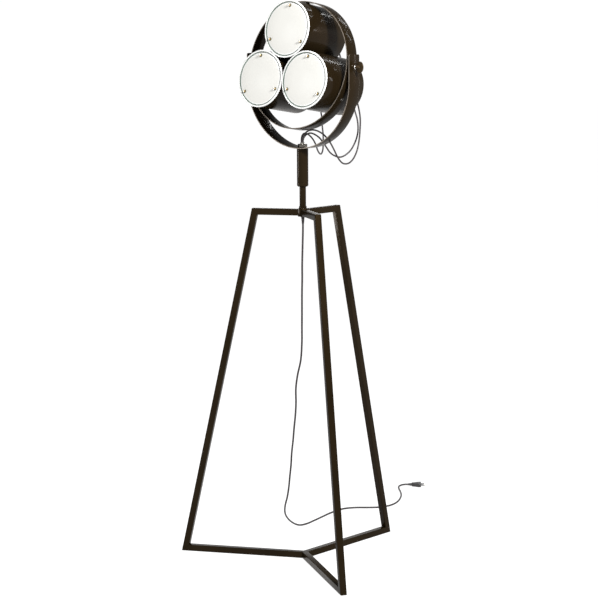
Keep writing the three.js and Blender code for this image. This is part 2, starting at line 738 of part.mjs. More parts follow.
function buildLeads(lamp) {
  for (const [which, { start, route }] of Object.entries(LEADS)) {
    const points = [
      [...start, NIPPLE_TOP + GAP],
      [...start, NIPPLE_TOP + STRAIGHT],
      ...route,
      glandPoint(which, GLAND_END + GAP),
    ];
    add(lamp, `lead_${which}`, tubeAlong(points, LEAD_RADIUS, LEAD_SIDES, LEAD_STEP), greyCable);
  }
}

// ---------------------------------------------------------------- mains cord and plug

const CORD_GLAND_LENGTH = 22;
const CORD_GLAND_COLLAR = 6.5; // radius
const CORD_GLAND_COLLAR_LENGTH = 3;
const CORD_GLAND_TAPER = [[3.8, CORD_GLAND_LENGTH], [5.5, 4]]; // radius and distance under the hub
const CORD_SIDES = 10;
const CORD_STEP = 24.5; // distance between the sections of the mains cord

// The cord hangs from the hub, bends back as it comes down and lies loosely on the floor.
const CORD_ROUTE = [
  [0, 0, 1040], [-2, 0, 985], [-4, 0, 930], [-5, 1, 890], [-8, 3, 840], [-11, 6, 785], [-15, 10, 735],
  [-20, 15, 680], [-27, 17, 625], [-40, 17, 578], [-50, 20, 533], [-56, 27, 485], [-64, 33, 444],
  [-74, 38, 400], [-84, 44, 356], [-96, 51, 313], [-108, 61, 270], [-122, 71, 228], [-138, 84, 187],
  [-158, 99, 148], [-181, 115, 113], [-203, 139, 80], [-219, 170, 52], [-228, 206, 27], [-234, 246, 9],
  [-239, 290, 3.1], [-245, 337, 3.1], [-253, 385, 3.1], [-261, 432, 3.1], [-265, 480, 3.1],
  [-260, 520, 3.1], [-238, 553, 3.1], [-205, 581, 3.1], [-176, 613, 3.1], [-165, 655, 3.1],
  [-174, 702, 3.1], [-196, 748, 3.1], [-221, 786, 3.1], [-252, 821, 3.1], [-273, 842, 3.1],
  [-291, 862, 3.2], [-297.5, 873, 4], [-298.3, 884, 5], [-295, 893.5, 6],
];

const PLUG_PLACE = [-271.6, 913.6, 6.8]; // of the back of the plug's body, on its axis
const PLUG_AZIMUTH = 36.9;
const PLUG_THICKNESS = 13.2;
const PLUG_OUTLINE = [[0, -7], [9, -9], [24, -17.5], [34, -17.5], [34, 17.5], [24, 17.5], [9, 9], [0, 7]];
const PLUG_LENGTH = 34;
const RELIEF_LENGTH = 14;
const RELIEF_RADIUS = [3.8, 5.8]; // at the cord and at the body
const RELIEF_OVERLAP = 3; // inside the body
const PIN_SPREAD = 9.3;
const PIN_RADIUS = 2;
const PIN_LENGTH = 19;

function plugBody() {
  const body = prism(PLUG_OUTLINE, -PLUG_THICKNESS / 2, PLUG_THICKNESS / 2);
  const relief = turned([
    [0, -RELIEF_LENGTH],
    [RELIEF_RADIUS[0], -RELIEF_LENGTH],
    [RELIEF_RADIUS[1], RELIEF_OVERLAP],
    [0, RELIEF_OVERLAP],
  ]);
  return join(body, relief.rotateY(Math.PI / 2));
}

function buildMains(lamp) {
  const glandTop = HUB_BOTTOM - GAP;
  const glandFoot = glandTop - CORD_GLAND_LENGTH;
  const gland = turned([
    [CORD_RADIUS + GAP, glandFoot],
    ...CORD_GLAND_TAPER.map(([radius, distance]) => [radius, glandTop - distance]),
    [CORD_GLAND_COLLAR, glandTop - CORD_GLAND_COLLAR_LENGTH],
    [CORD_GLAND_COLLAR, glandTop],
    [CORD_RADIUS + GAP, glandTop],
  ]);
  add(lamp, "cord_gland", gland, greyCable);

  const plug = new THREE.Group();
  plug.position.set(...PLUG_PLACE);
  plug.rotation.z = radians(PLUG_AZIMUTH);
  lamp.add(plug);
  add(plug, "plug_body", plugBody(), blackPlastic);
  const pin = () => rod(PIN_RADIUS, PLUG_LENGTH + GAP, PLUG_LENGTH + PIN_LENGTH, 12).rotateY(Math.PI / 2);
  add(plug, "plug_pin_near", pin().translate(0, -PIN_SPREAD, 0), brightSteel);
  add(plug, "plug_pin_far", pin().translate(0, PIN_SPREAD, 0), brightSteel);

  const heading = new THREE.Vector3(1, 0, 0).applyAxisAngle(new THREE.Vector3(0, 0, 1), plug.rotation.z);
  const end = plug.position.clone().addScaledVector(heading, -RELIEF_LENGTH - GAP);
  const straight = end.clone().addScaledVector(heading, -STRAIGHT);
  const route = [[0, 0, glandFoot - GAP], ...CORD_ROUTE, straight.toArray(), end.toArray()];
  add(lamp, "mains_cord", tubeAlong(route, CORD_RADIUS, CORD_SIDES, CORD_STEP), greyCable);
}

// ---------------------------------------------------------------- assembly

const lamp = new THREE.Group();
buildTripod(lamp);
buildStem(lamp);
buildSwivel(lamp);
buildYoke(lamp);
buildTiltScrews(lamp);
buildLeads(lamp);
buildMains(lamp);

const head = new THREE.Group();
head.position.z = PIVOT_HEIGHT;
head.rotation.x = radians(-REST_TILT);
lamp.add(head);
buildRing(head);
buildSpotlights(head);

export default lamp;
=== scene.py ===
import json
import math

import bmesh
import bpy
from mathutils import Matrix, Vector


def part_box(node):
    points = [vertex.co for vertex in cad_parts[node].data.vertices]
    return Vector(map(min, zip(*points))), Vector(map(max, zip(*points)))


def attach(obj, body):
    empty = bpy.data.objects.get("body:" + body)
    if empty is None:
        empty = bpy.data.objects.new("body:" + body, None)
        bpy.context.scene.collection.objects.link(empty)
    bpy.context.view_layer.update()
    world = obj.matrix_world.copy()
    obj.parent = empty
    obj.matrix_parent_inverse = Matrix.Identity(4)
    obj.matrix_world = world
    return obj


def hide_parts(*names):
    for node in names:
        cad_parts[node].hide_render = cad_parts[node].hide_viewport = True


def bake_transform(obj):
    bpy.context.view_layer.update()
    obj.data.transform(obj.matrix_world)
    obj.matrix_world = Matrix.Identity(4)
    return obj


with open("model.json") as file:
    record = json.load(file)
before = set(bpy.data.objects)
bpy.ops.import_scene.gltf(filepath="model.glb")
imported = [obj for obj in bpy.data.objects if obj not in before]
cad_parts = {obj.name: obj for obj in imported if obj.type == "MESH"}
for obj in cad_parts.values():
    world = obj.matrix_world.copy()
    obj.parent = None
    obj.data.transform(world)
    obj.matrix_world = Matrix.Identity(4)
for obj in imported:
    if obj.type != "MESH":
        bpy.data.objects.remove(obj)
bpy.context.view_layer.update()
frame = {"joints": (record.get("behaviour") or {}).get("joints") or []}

# ---------- sizes and places, in metres

LEG_AZIMUTH = {"left": 207, "right": 327, "rear": 87}  # degrees
CAN_ANGLE = {"top": 90, "left": 210, "right": 330}  # degrees, round the ring
REST_TILT = math.radians(9)
GAP = 0.0003

TO_X = Matrix.Rotation(math.pi / 2, 4, "Y")  # turns local Z to +X
TO_MINUS_X = Matrix.Rotation(-math.pi / 2, 4, "Y")
PIVOT = Vector(next(j for j in frame["joints"] if j["name"] == "head_tilt")["pos_m"])
HEAD = Matrix.Translation(PIVOT) @ Matrix.Rotation(-REST_TILT, 4, "X")


def low(node):
    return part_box(node)[0]


def high(node):
    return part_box(node)[1]


def span(node):
    """A node's lowest and highest height."""
    return low(node).z, high(node).z


def half_width(node):
    return (high(node).x - low(node).x) / 2


def in_scene(name, data):
    made = bpy.data.objects.new(name, data)
    bpy.context.scene.collection.objects.link(made)
    return made


def about_z(angle):
    return Matrix.Rotation(angle, 4, "Z")


# ---------- camera

CAMERA_PLACE = Vector((3.697, -4.329, 1.7243))
CAMERA_HEADING = math.radians(130.633)
CAMERA_DROP = math.radians(8.985)
CAMERA_ROLL = math.radians(-0.357)
CAMERA_LENS = 112.6  # mm, on a 36 mm sensor


def make_camera():
    forward = Vector((
        math.cos(CAMERA_HEADING) * math.cos(CAMERA_DROP),
        math.sin(CAMERA_HEADING) * math.cos(CAMERA_DROP),
        -math.sin(CAMERA_DROP),
    ))
    level = forward.cross(Vector((0, 0, 1))).normalized()
    upright = level.cross(forward)
    right = level * math.cos(CAMERA_ROLL) + upright * math.sin(CAMERA_ROLL)
    up = upright * math.cos(CAMERA_ROLL) - level * math.sin(CAMERA_ROLL)
    data = bpy.data.cameras.new("camera")
    data.lens = CAMERA_LENS
    data.sensor_width = 36
    data.clip_end = 60
    camera = in_scene("camera", data)
    turn = Matrix((right, up, -forward)).transposed().to_4x4()
    camera.matrix_world = Matrix.Translation(CAMERA_PLACE) @ turn
    bpy.context.scene.camera = camera


# ---------- materials

class Look:
    """A Principled material whose uniform values sit on the shader's own sockets."""

    def __init__(self, name, color, roughness, metallic=0.0, **values):
        self.material = bpy.data.materials.new(name)
        self.material.use_nodes = True
        self.nodes = self.material.node_tree.nodes
        self.links = self.material.node_tree.links
        self.shader = self.nodes["Principled BSDF"]
        self.set("Base Color", (*color, 1))
        self.set("Roughness", roughness)
        self.set("Metallic", metallic)
        for socket, value in values.items():
            self.set(socket.replace("_", " "), value)
        self.place = self.nodes.new("ShaderNodeTexCoord").outputs["Object"]

    def set(self, socket, value):
        self.shader.inputs[socket].default_value = value

    def noise(self, scale, detail=3.0, stretch=(1, 1, 1)):
        mapping = self.nodes.new("ShaderNodeMapping")
        mapping.inputs["Scale"].default_value = stretch
        self.links.new(self.place, mapping.inputs["Vector"])
        texture = self.nodes.new("ShaderNodeTexNoise")
        texture.inputs["Scale"].default_value = scale
        texture.inputs["Detail"].default_value = detail
        self.links.new(mapping.outputs["Vector"], texture.inputs["Vector"])
        return texture.outputs["Fac"]

    def ramp(self, factor, stops):
        """Colours or greys along a factor, from (position, colour) pairs."""
        ramp = self.nodes.new("ShaderNodeValToRGB")
        elements = ramp.color_ramp.elements
        while len(elements) < len(stops):
            elements.new(0.5)
        for element, (position, color) in zip(elements, stops):
            element.position = position
            element.color = (*color, 1) if isinstance(color, tuple) else (color, color, color, 1)
        self.links.new(factor, ramp.inputs["Fac"])
        return ramp.outputs["Color"]

    def link(self, output, socket):
        self.links.new(output, self.shader.inputs[socket])
        return self

    def bump(self, height, strength, distance):
        bump = self.nodes.new("ShaderNodeBump")
        bump.inputs["Strength"].default_value = strength
        bump.inputs["Distance"].default_value = distance
        self.links.new(height, bump.inputs["Height"])
        self.links.new(bump.outputs["Normal"], self.shader.inputs["Normal"])
        return self


FLAKE = 0.3  # how metallic the paint is
GRAIN_DEPTH = 0.0001


def painted(name, dark, light, gloss, edge_tint, coat=0.0):
    """Polished bronze paint: metal flake with cloudy colour, uneven gloss and a fine surface."""
    look = Look(name, dark, gloss, FLAKE, Specular_IOR_Level=0.05, Specular_Tint=(*edge_tint, 1))
    if coat:
        look.set("Coat Weight", coat)
        look.set("Coat Roughness", 0.08)
    clouds = look.noise(7, 4)
    look.link(look.ramp(clouds, [(0.3, dark), (0.7, light)]), "Base Color")
    smears = look.noise(30, 3, (1, 1, 0.35))
    look.link(look.ramp(smears, [(0.25, gloss * 0.92), (0.75, gloss * 1.12)]), "Roughness")
    return look.bump(look.noise(900, 2), 0.012, GRAIN_DEPTH).material


def metal(name, color, tint, roughness, line_scale, stretch=(1, 1, 1), **values):
    """Bare or plated metal with fine tool lines along one direction."""
    look = Look(name, color, roughness, 1.0, **values)
    lines = look.noise(line_scale, 4, stretch)
    look.link(look.ramp(lines, [(0.3, color), (0.7, tint)]), "Base Color")
    look.link(look.ramp(lines, [(0.2, roughness * 0.7), (0.8, roughness * 1.4)]), "Roughness")
    return look.bump(lines, 0.15, GRAIN_DEPTH).material


def moulded(name, color, tint, roughness, grain, **values):
    """Moulded plastic, rubber or ceramic with a fine grain."""
    look = Look(name, color, roughness, 0.0, **values)
    look.link(look.ramp(look.noise(25, 3), [(0.3, color), (0.7, tint)]), "Base Color")
    fine = look.noise(grain, 2)
    look.link(look.ramp(fine, [(0.2, roughness * 0.85), (0.8, roughness * 1.15)]), "Roughness")
    return look.bump(fine, 0.2, GRAIN_DEPTH).material


def frosted(name, glow_place, glow_reach):
    """Acid-etched glass with a painted glow: it gives off light over its whole face, brightest in a soft
    patch round glow_place, though nothing behind it is lit.
    """
    look = Look(name, (0.35, 0.346, 0.326), 0.42, 0.0, Specular_IOR_Level=0.3)
    distance = look.nodes.new("ShaderNodeVectorMath")
    distance.operation = "DISTANCE"
    distance.inputs[1].default_value = glow_place
    look.links.new(look.place, distance.inputs[0])
    reach = look.nodes.new("ShaderNodeMapRange")
    reach.interpolation_type = "SMOOTHERSTEP"
    reach.inputs["From Max"].default_value = glow_reach
    look.links.new(distance.outputs["Value"], reach.inputs["Value"])
    # Painted light: the emission colour, a little brighter near glow_place, makes the glass look lit from
    # behind.
    glow = look.ramp(reach.outputs["Result"], [(0.0, (0.238, 0.238, 0.23)), (1.0, (0.195, 0.193, 0.184))])
    look.link(glow, "Emission Color")
    look.set("Emission Strength", 1.0)
    etched = look.noise(700, 3)
    look.link(look.ramp(etched, [(0.2, 0.36), (0.8, 0.5)]), "Roughness")
    return look.bump(etched, 0.1, GRAIN_DEPTH).material


BRONZE = painted(
    "bronze_paint", dark=(0.0098, 0.0061, 0.0025), light=(0.0142, 0.0092, 0.0041), gloss=0.24,
    edge_tint=(0.26, 0.2, 0.14), coat=0.07,
)
# A lighter copy of the bronze paint for the paddles: painted light, so that their faces look lit.
PADDLE_BRONZE_LIT = painted(
    "bronze_paddle_painted_light", dark=(0.027, 0.0185, 0.0098), light=(0.036, 0.025, 0.0138), gloss=0.3,
    edge_tint=(0.4, 0.32, 0.24),
)
# Lighter bronze for the strips' edges: a painted highlight where the edges catch the light.
EDGE_HIGHLIGHT_BRONZE = painted(
    "bronze_painted_edge_highlight", dark=(0.08, 0.066, 0.052), light=(0.18, 0.155, 0.13), gloss=0.3,
    edge_tint=(0.5, 0.46, 0.42),
)
DARK_CHROME = metal("dark_chrome", (0.1, 0.09, 0.078), (0.15, 0.138, 0.12), 0.14, 300, (1, 1, 6))
STEEL = metal("bright_steel", (0.6, 0.58, 0.54), (0.74, 0.72, 0.68), 0.22, 400, (6, 1, 1))
BRASS = metal("brass", (0.4, 0.26, 0.1), (0.52, 0.36, 0.17), 0.24, 500)
# A near-white copy of the brass for the screws' end faces: a painted highlight.
BRASS_END_HIGHLIGHT = metal("brass_painted_highlight", (0.9, 0.84, 0.72), (0.95, 0.9, 0.8), 0.16, 500)
ALUMINIUM = metal("reflector_aluminium", (0.78, 0.78, 0.77), (0.86, 0.86, 0.85), 0.18, 200)
NYLON = moulded("nylon", (0.72, 0.7, 0.64), (0.8, 0.78, 0.72), 0.5, 900)
PORCELAIN = moulded("porcelain", (0.8, 0.78, 0.72), (0.88, 0.87, 0.83), 0.25, 600)
BLACK_PLASTIC = moulded("black_plastic", (0.012, 0.0115, 0.0115), (0.02, 0.019, 0.019), 0.42, 1500)
CABLE = moulded(
    "grey_cable", (0.018, 0.0145, 0.015), (0.027, 0.0225, 0.0235), 0.42, 1200, Specular_IOR_Level=0.3,
)
WHITE_MARGIN = moulded("glass_margin", (0.54, 0.54, 0.53), (0.57, 0.57, 0.56), 0.16, 500, Coat_Weight=0.3)
GLASS_EDGE = moulded("glass_edge", (0.05, 0.066, 0.054), (0.1, 0.122, 0.105), 0.2, 300, Coat_Weight=0.1)
BULB_GLASS = moulded("bulb_glass", (0.82, 0.82, 0.79), (0.87, 0.87, 0.85), 0.08, 200, Coat_Weight=0.4)

# ---------- mesh helpers

SHARP = math.radians(38)  # edges that turn more than this stay crisp
LATHE_SIDES = 96
SMALL_SIDES = 40
NUT_SIDES = 72
CABLE_SIDES = 16
BEAD_SIDES = 8
ROUTE_SPANS = 8  # steps of a cord's curve between two of its points
NUT_CHAMFER = math.radians(30)
SCREW_PITCH = 0.00125


def circle(radius, sides):
    steps = [i * math.tau / sides for i in range(sides)]
    return [(radius * math.cos(a), radius * math.sin(a)) for a in steps]


def eased(points, ease, closed=True, steps=3):
    """The outline again with each corner rounded: `ease` is how far along the sides the rounding starts."""
    made = []
    for i, here in enumerate(points):
        if not closed and i in (0, len(points) - 1):
            made.append(tuple(here))
            continue
        here = Vector(here)
        before = Vector(points[i - 1]) - here
        after = Vector(points[(i + 1) % len(points)]) - here
        reach = min(ease, before.length * 0.49, after.length * 0.49)
        start, end = here + before.normalized() * reach, here + after.normalized() * reach
        for k in range(steps + 1):
            t = k / steps
            made.append(tuple(start * (1 - t) ** 2 + here * 2 * t * (1 - t) + end * t ** 2))
    return made


def inset(outline, distance):
    """A counter-clockwise outline moved inwards by the same distance on every side."""
    made = []
    for i, here in enumerate(outline):
        here = Vector(here)
        a = (here - Vector(outline[i - 1])).normalized()
        b = (Vector(outline[(i + 1) % len(outline)]) - here).normalized()
        inward = Vector((-a.y - b.y, a.x + b.x))
        turn = max(0.3, (1 + a.dot(b)) / 2)
        made.append(tuple(here + inward / 2 * distance / turn))
    return made


def skin(bm, rings, looks=None, loop=False):
    """Faces between rings of equal length, closed at both ends or into a loop.

    `looks` gives a face's material index from its stretch and its side.
    """
    rows = [[bm.verts.new(p) for p in ring] for ring in rings]
    pairs = list(zip(rows, rows[1:] + rows[:1])) if loop else list(zip(rows, rows[1:]))
    for k, (a, b) in enumerate(pairs):
        for i in range(len(a)):
            j = (i + 1) % len(a)
            face = bm.faces.new((a[i], a[j], b[j], b[i]))
            face.material_index = looks(k, i) if looks else 0
    if not loop:
        bm.faces.new(rows[0][::-1])
        bm.faces.new(rows[-1])


def lathe(bm, profile, place=Matrix(), sides=LATHE_SIDES, looks=None, closed=False):
    """A profile of (radius, height) points turned about the local Z axis."""
    rows = []
    for radius, height in profile:
        if radius < 1e-7:
            rows.append([bm.verts.new(place @ Vector((0, 0, height)))])
        else:
            rows.append([bm.verts.new(place @ Vector((x, y, height))) for x, y in circle(radius, sides)])
    pairs = zip(rows, rows[1:] + rows[:1]) if closed else zip(rows, rows[1:])
    for k, (a, b) in enumerate(pairs):
        for i in range(sides):
            j = (i + 1) % sides
            corners = [a[i % len(a)], a[j % len(a)], b[j % len(b)], b[i % len(b)]]
            corners = list(dict.fromkeys(corners))
            if len(corners) > 2:
                bm.faces.new(corners).material_index = looks[k] if looks else 0


def ring_profile(inner, outer, bottom, top, ease):
    return eased([(inner, bottom), (outer, bottom), (outer, top), (inner, top)], ease)


def prism(bm, outline, bottom, top, ease, place=Matrix(), steps=3):
    """A convex outline extruded along the local Z axis with rounded rims."""
    def ring(distance, height):
        return [place @ Vector((x, y, height)) for x, y in inset(outline, distance)]

    turns = [math.pi / 2 * k / steps for k in range(steps + 1)]
    lower = [ring(ease * (1 - math.sin(a)), bottom + ease * (1 - math.cos(a))) for a in turns]
    upper = [ring(ease * (1 - math.cos(a)), top - ease * (1 - math.sin(a))) for a in turns]
    skin(bm, lower + upper)


def nut(bm, flats, bottom, top, hole, place=Matrix()):
    """A hexagonal nut with the rounded chamfers that a lathe leaves on its corners."""
    slope = math.tan(NUT_CHAMFER)
    flat_radius = flats / 2
    angles = [i * math.tau / NUT_SIDES for i in range(NUT_SIDES)]

    def reach(angle):
        return flat_radius / math.cos((angle + math.pi / 6) % (math.pi / 3) - math.pi / 6)

    def at(radius, angle, height):
        return place @ Vector((radius * math.cos(angle), radius * math.sin(angle), height))

    rings = []
    for end, inward in ((bottom, 1), (top, -1)):
        chamfer = flat_radius * 0.97
        rim = [at(hole + 0.0005, a, end) for a in angles]
        face_edge = [at(chamfer, a, end) for a in angles]
        corner = [at(reach(a), a, end + inward * (reach(a) - chamfer) * slope) for a in angles]
        rings.append((rim, face_edge, corner))
    (rim_a, edge_a, corner_a), (rim_b, edge_b, corner_b) = rings
    bore = [[at(hole, a, bottom + 0.0005) for a in angles], [at(hole, a, top - 0.0005) for a in angles]]
    skin(bm, [rim_a, edge_a, corner_a, corner_b, edge_b, rim_b, bore[1], bore[0]], loop=True)


def thread(bm, radius, start, end, place):
    """A threaded rod: ridges along the local Z axis."""
    root = radius - SCREW_PITCH * 0.35
    count = round((end - start) / SCREW_PITCH)
    profile = [(0, start), (root, start)]
    for i in range(count):
        z = start + (i + 0.5) * (end - start) / count
        profile += [(radius, z), (root, z + 0.5 * (end - start) / count)]
    profile += [(root, end), (0, end)]
    lathe(bm, profile, place, SMALL_SIDES)


def bead(bm, points, radius):
    """A weld bead: a closed tube with ripples along it."""
    rings = []
    count = len(points)
    for i, here in enumerate(points):
        along = (points[(i + 1) % count] - points[i - 1]).normalized()
        side = along.orthogonal().normalized()
        other = along.cross(side)
        size = radius * (1 + 0.16 * math.sin(i * 2.1) + 0.1 * math.sin(i * 0.73))
        rings.append([here + side * x * size + other * y * size for x, y in circle(1, BEAD_SIDES)])
    skin(bm, rings, loop=True)


def smooth_route(points):
    """Points along the centripetal Catmull-Rom curve through a list of points."""
    points = [Vector(p) for p in points]
    padded = [points[0] * 2 - points[1], *points, points[-1] * 2 - points[-2]]
    made = [points[0]]
    for a, b, c, d in zip(padded, padded[1:], padded[2:], padded[3:]):
        before, here, after = ((q - p).length ** 0.5 for p, q in ((a, b), (b, c), (c, d)))
        leave = ((b - a) / before - (c - a) / (before + here) + (c - b) / here) * here
        arrive = ((c - b) / here - (d - b) / (here + after) + (d - c) / after) * here
        for k in range(1, ROUTE_SPANS + 1):
            t = k / ROUTE_SPANS
            made.append(
                b * (2 * t ** 3 - 3 * t ** 2 + 1)
                + leave * (t ** 3 - 2 * t ** 2 + t)
                + c * (3 * t ** 2 - 2 * t ** 3)
                + arrive * (t ** 3 - t ** 2)
            )
    return made


def tube(bm, path, radius):
    """A round tube along a path, with its sections turned as little as possible."""
    rings = []
    side = (path[1] - path[0]).orthogonal().normalized()
    for i, here in enumerate(path):
        along = (path[min(i + 1, len(path) - 1)] - path[max(i - 1, 0)]).normalized()
        side = (side - along * side.dot(along)).normalized()
        other = along.cross(side)
        rings.append([here + (side * x + other * y) * radius for x, y in circle(1, CABLE_SIDES)])
    skin(bm, rings)


def plain_object(name, bm):
    mesh = bpy.data.meshes.new(name)
    bmesh.ops.recalc_face_normals(bm, faces=bm.faces)
    bm.to_mesh(mesh)
    bm.free()
    return in_scene(name, mesh)


def piece(node, finish, bm, looks, body, hidden=()):
    """The finished object for a CAD node: smooth faces and materials, attached to its body when it has one.

    It also stands for the `hidden` nodes.
    """
    bmesh.ops.remove_doubles(bm, verts=bm.verts, dist=1e-7)
    made = plain_object(f"{node}_{finish}", bm)
    for look in looks:
        made.data.materials.append(look)
    made.data.shade_smooth()
    made.data.set_sharp_from_angle(angle=SHARP)
    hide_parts(node, *hidden)
    if body:
        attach(made, body)
    return made


# ---------- cords

CORD_DIAMETER = 0.006
# From under the hub, down behind the right leg, and loosely over the floor to the plug.
CORD_ROUTE = [
    (0, 0, 1.040), (-0.002, 0, 0.985), (-0.004, 0, 0.930), (-0.005, 0.001, 0.890),
    (-0.008, 0.003, 0.840), (-0.011, 0.006, 0.785), (-0.015, 0.010, 0.735), (-0.020, 0.015, 0.680),
    (-0.027, 0.017, 0.625), (-0.040, 0.017, 0.578), (-0.050, 0.020, 0.533), (-0.056, 0.027, 0.485),
    (-0.064, 0.033, 0.444), (-0.074, 0.038, 0.400), (-0.084, 0.044, 0.356), (-0.096, 0.051, 0.313),
    (-0.108, 0.061, 0.270), (-0.122, 0.071, 0.228), (-0.138, 0.084, 0.187), (-0.158, 0.099, 0.148),
    (-0.181, 0.115, 0.113), (-0.203, 0.139, 0.080), (-0.219, 0.170, 0.052), (-0.228, 0.206, 0.027),
    (-0.234, 0.246, 0.009), (-0.239, 0.290, 0.0031), (-0.245, 0.337, 0.0031), (-0.253, 0.385, 0.0031),
    (-0.261, 0.432, 0.0031), (-0.265, 0.480, 0.0031), (-0.260, 0.520, 0.0031), (-0.238, 0.553, 0.0031),
    (-0.205, 0.581, 0.0031), (-0.176, 0.613, 0.0031), (-0.165, 0.655, 0.0031), (-0.174, 0.702, 0.0031),
    (-0.196, 0.748, 0.0031), (-0.221, 0.786, 0.0031), (-0.252, 0.821, 0.0031), (-0.273, 0.842, 0.0031),
    (-0.291, 0.862, 0.0032), (-0.2975, 0.873, 0.004), (-0.2983, 0.884, 0.005), (-0.295, 0.8935, 0.006),
]
PLUG_PLACE = Vector((-0.2716, 0.9136, 0.0068))  # of the back of the plug's body, on its axis
PLUG = Matrix.Translation(PLUG_PLACE) @ about_z(math.radians(36.9))
RELIEF_LENGTH = 0.014
STRAIGHT = 0.006  # straight stretch of a cable next to a fitting

LEAD_DIAMETER = 0.005
# Each lead starts at the nipple, at this place beside its axis, and ends in its can's gland.
LEAD_START = {"left": (-0.0026, -0.0015), "right": (0.0026, -0.0015), "top": (0, 0.003)}
LEAD_ROUTE = {
    "left": [
        (-0.0035, 0.0005, 1.320), (-0.006, 0.008, 1.3285), (-0.008, 0.021, 1.3325), (-0.0085, 0.041, 1.326),
        (-0.010, 0.062, 1.311), (-0.015, 0.081, 1.293), (-0.023, 0.099, 1.275), (-0.033, 0.121, 1.263),
        (-0.045, 0.144, 1.261), (-0.057, 0.165, 1.272), (-0.068, 0.180, 1.292), (-0.075, 0.188, 1.317),
        (-0.080, 0.190, 1.343), (-0.082, 0.190, 1.370), (-0.083, 0.184, 1.396), (-0.084, 0.173, 1.420),
        (-0.085, 0.157, 1.441), (-0.086, 0.136, 1.458),
    ],
    "right": [
        (0.006, -0.003, 1.324), (0.018, 0.001, 1.340), (0.038, 0.009, 1.345), (0.062, 0.021, 1.334),
        (0.079, 0.033, 1.311), (0.088, 0.045, 1.284), (0.090, 0.062, 1.258), (0.089, 0.086, 1.241),
        (0.088, 0.116, 1.240), (0.086, 0.143, 1.255), (0.085, 0.161, 1.280), (0.084, 0.171, 1.309),
        (0.084, 0.175, 1.339), (0.085, 0.175, 1.370), (0.085, 0.169, 1.400), (0.085, 0.157, 1.429),
        (0.086, 0.137, 1.454),
    ],
    "top": [
        (0.001, 0.0065, 1.321), (0.0035, 0.016, 1.330), (0.0085, 0.031, 1.333), (0.018, 0.056, 1.3195),
        (0.025, 0.077, 1.294), (0.032, 0.099, 1.267), (0.042, 0.130, 1.255), (0.053, 0.159, 1.269),
        (0.061, 0.178, 1.297), (0.065, 0.188, 1.330), (0.061, 0.191, 1.365), (0.050, 0.190, 1.399),
        (0.038, 0.190, 1.433), (0.025, 0.190, 1.467), (0.012, 0.190, 1.501), (0.003, 0.189, 1.535),
        (-0.002, 0.181, 1.569), (-0.001, 0.163, 1.600),
    ],
}

CAN_CIRCLE = 0.1005  # from the ring's centre to each can's axis
CAN_RADIUS = 0.086
CAN_FRONT = -0.081
CAN_REAR = 0.090
CAP_REAR = 0.093
GLAND_END = CAP_REAR + 0.028


def can_place(which):
    """The frame of a can: its axis is local Z with the front at the low end, and local Y points down."""
    angle = math.radians(CAN_ANGLE[which])
    across = Matrix.Translation((CAN_CIRCLE * math.cos(angle), 0, CAN_CIRCLE * math.sin(angle)))
    return HEAD @ across @ Matrix.Rotation(-math.pi / 2, 4, "X")


def make_leads():
    for which, route in LEAD_ROUTE.items():
        foot = Vector((*LEAD_START[which], high("cable_nipple").z + GAP))
        end = can_place(which) @ Vector((0, 0, GLAND_END + GAP))
        path = smooth_route([foot, foot + Vector((0, 0, STRAIGHT)), *route, end])
        bm = bmesh.new()
        tube(bm, path, LEAD_DIAMETER / 2)
        lead = piece(f"lead_{which}", "cable", bm, [CABLE], None)
        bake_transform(lead)


def make_mains_cord(on_it):
    exit_place = Vector((0, 0, low("cord_gland").z - GAP))
    end = PLUG @ Vector((-RELIEF_LENGTH - GAP, 0, 0))
    straight = PLUG @ Vector((-RELIEF_LENGTH - GAP - STRAIGHT, 0, 0))
    path = smooth_route([exit_place, *CORD_ROUTE, straight, end])
    bm = bmesh.new()
    tube(bm, path, CORD_DIAMETER / 2)
    cord = piece("mains_cord", "cable", bm, [CABLE], "base")


# ---------- plug and cord gland

PLUG_OUTLINE = [
    (0, -0.007), (0.009, -0.009), (0.024, -0.0175), (0.034, -0.0175),
    (0.034, 0.0175), (0.024, 0.0175), (0.009, 0.009), (0, 0.007),
]
GRIP_RIBS = 4
FIRST_RIB = (0.010, 0.0093)  # along the plug, and out from its middle
RIB_STEP = (0.0042, 0.0021)
RIB_TURN = 0.52
RIB_RADIUS = 0.0011
RIB_HEIGHT = 0.009
RELIEF_BANDS = 5
PIN_SPREAD = 0.0093
PIN_START = 0.033
PIN_BARE = 0.0448  # where the insulated part of a pin ends
PIN_END = 0.053


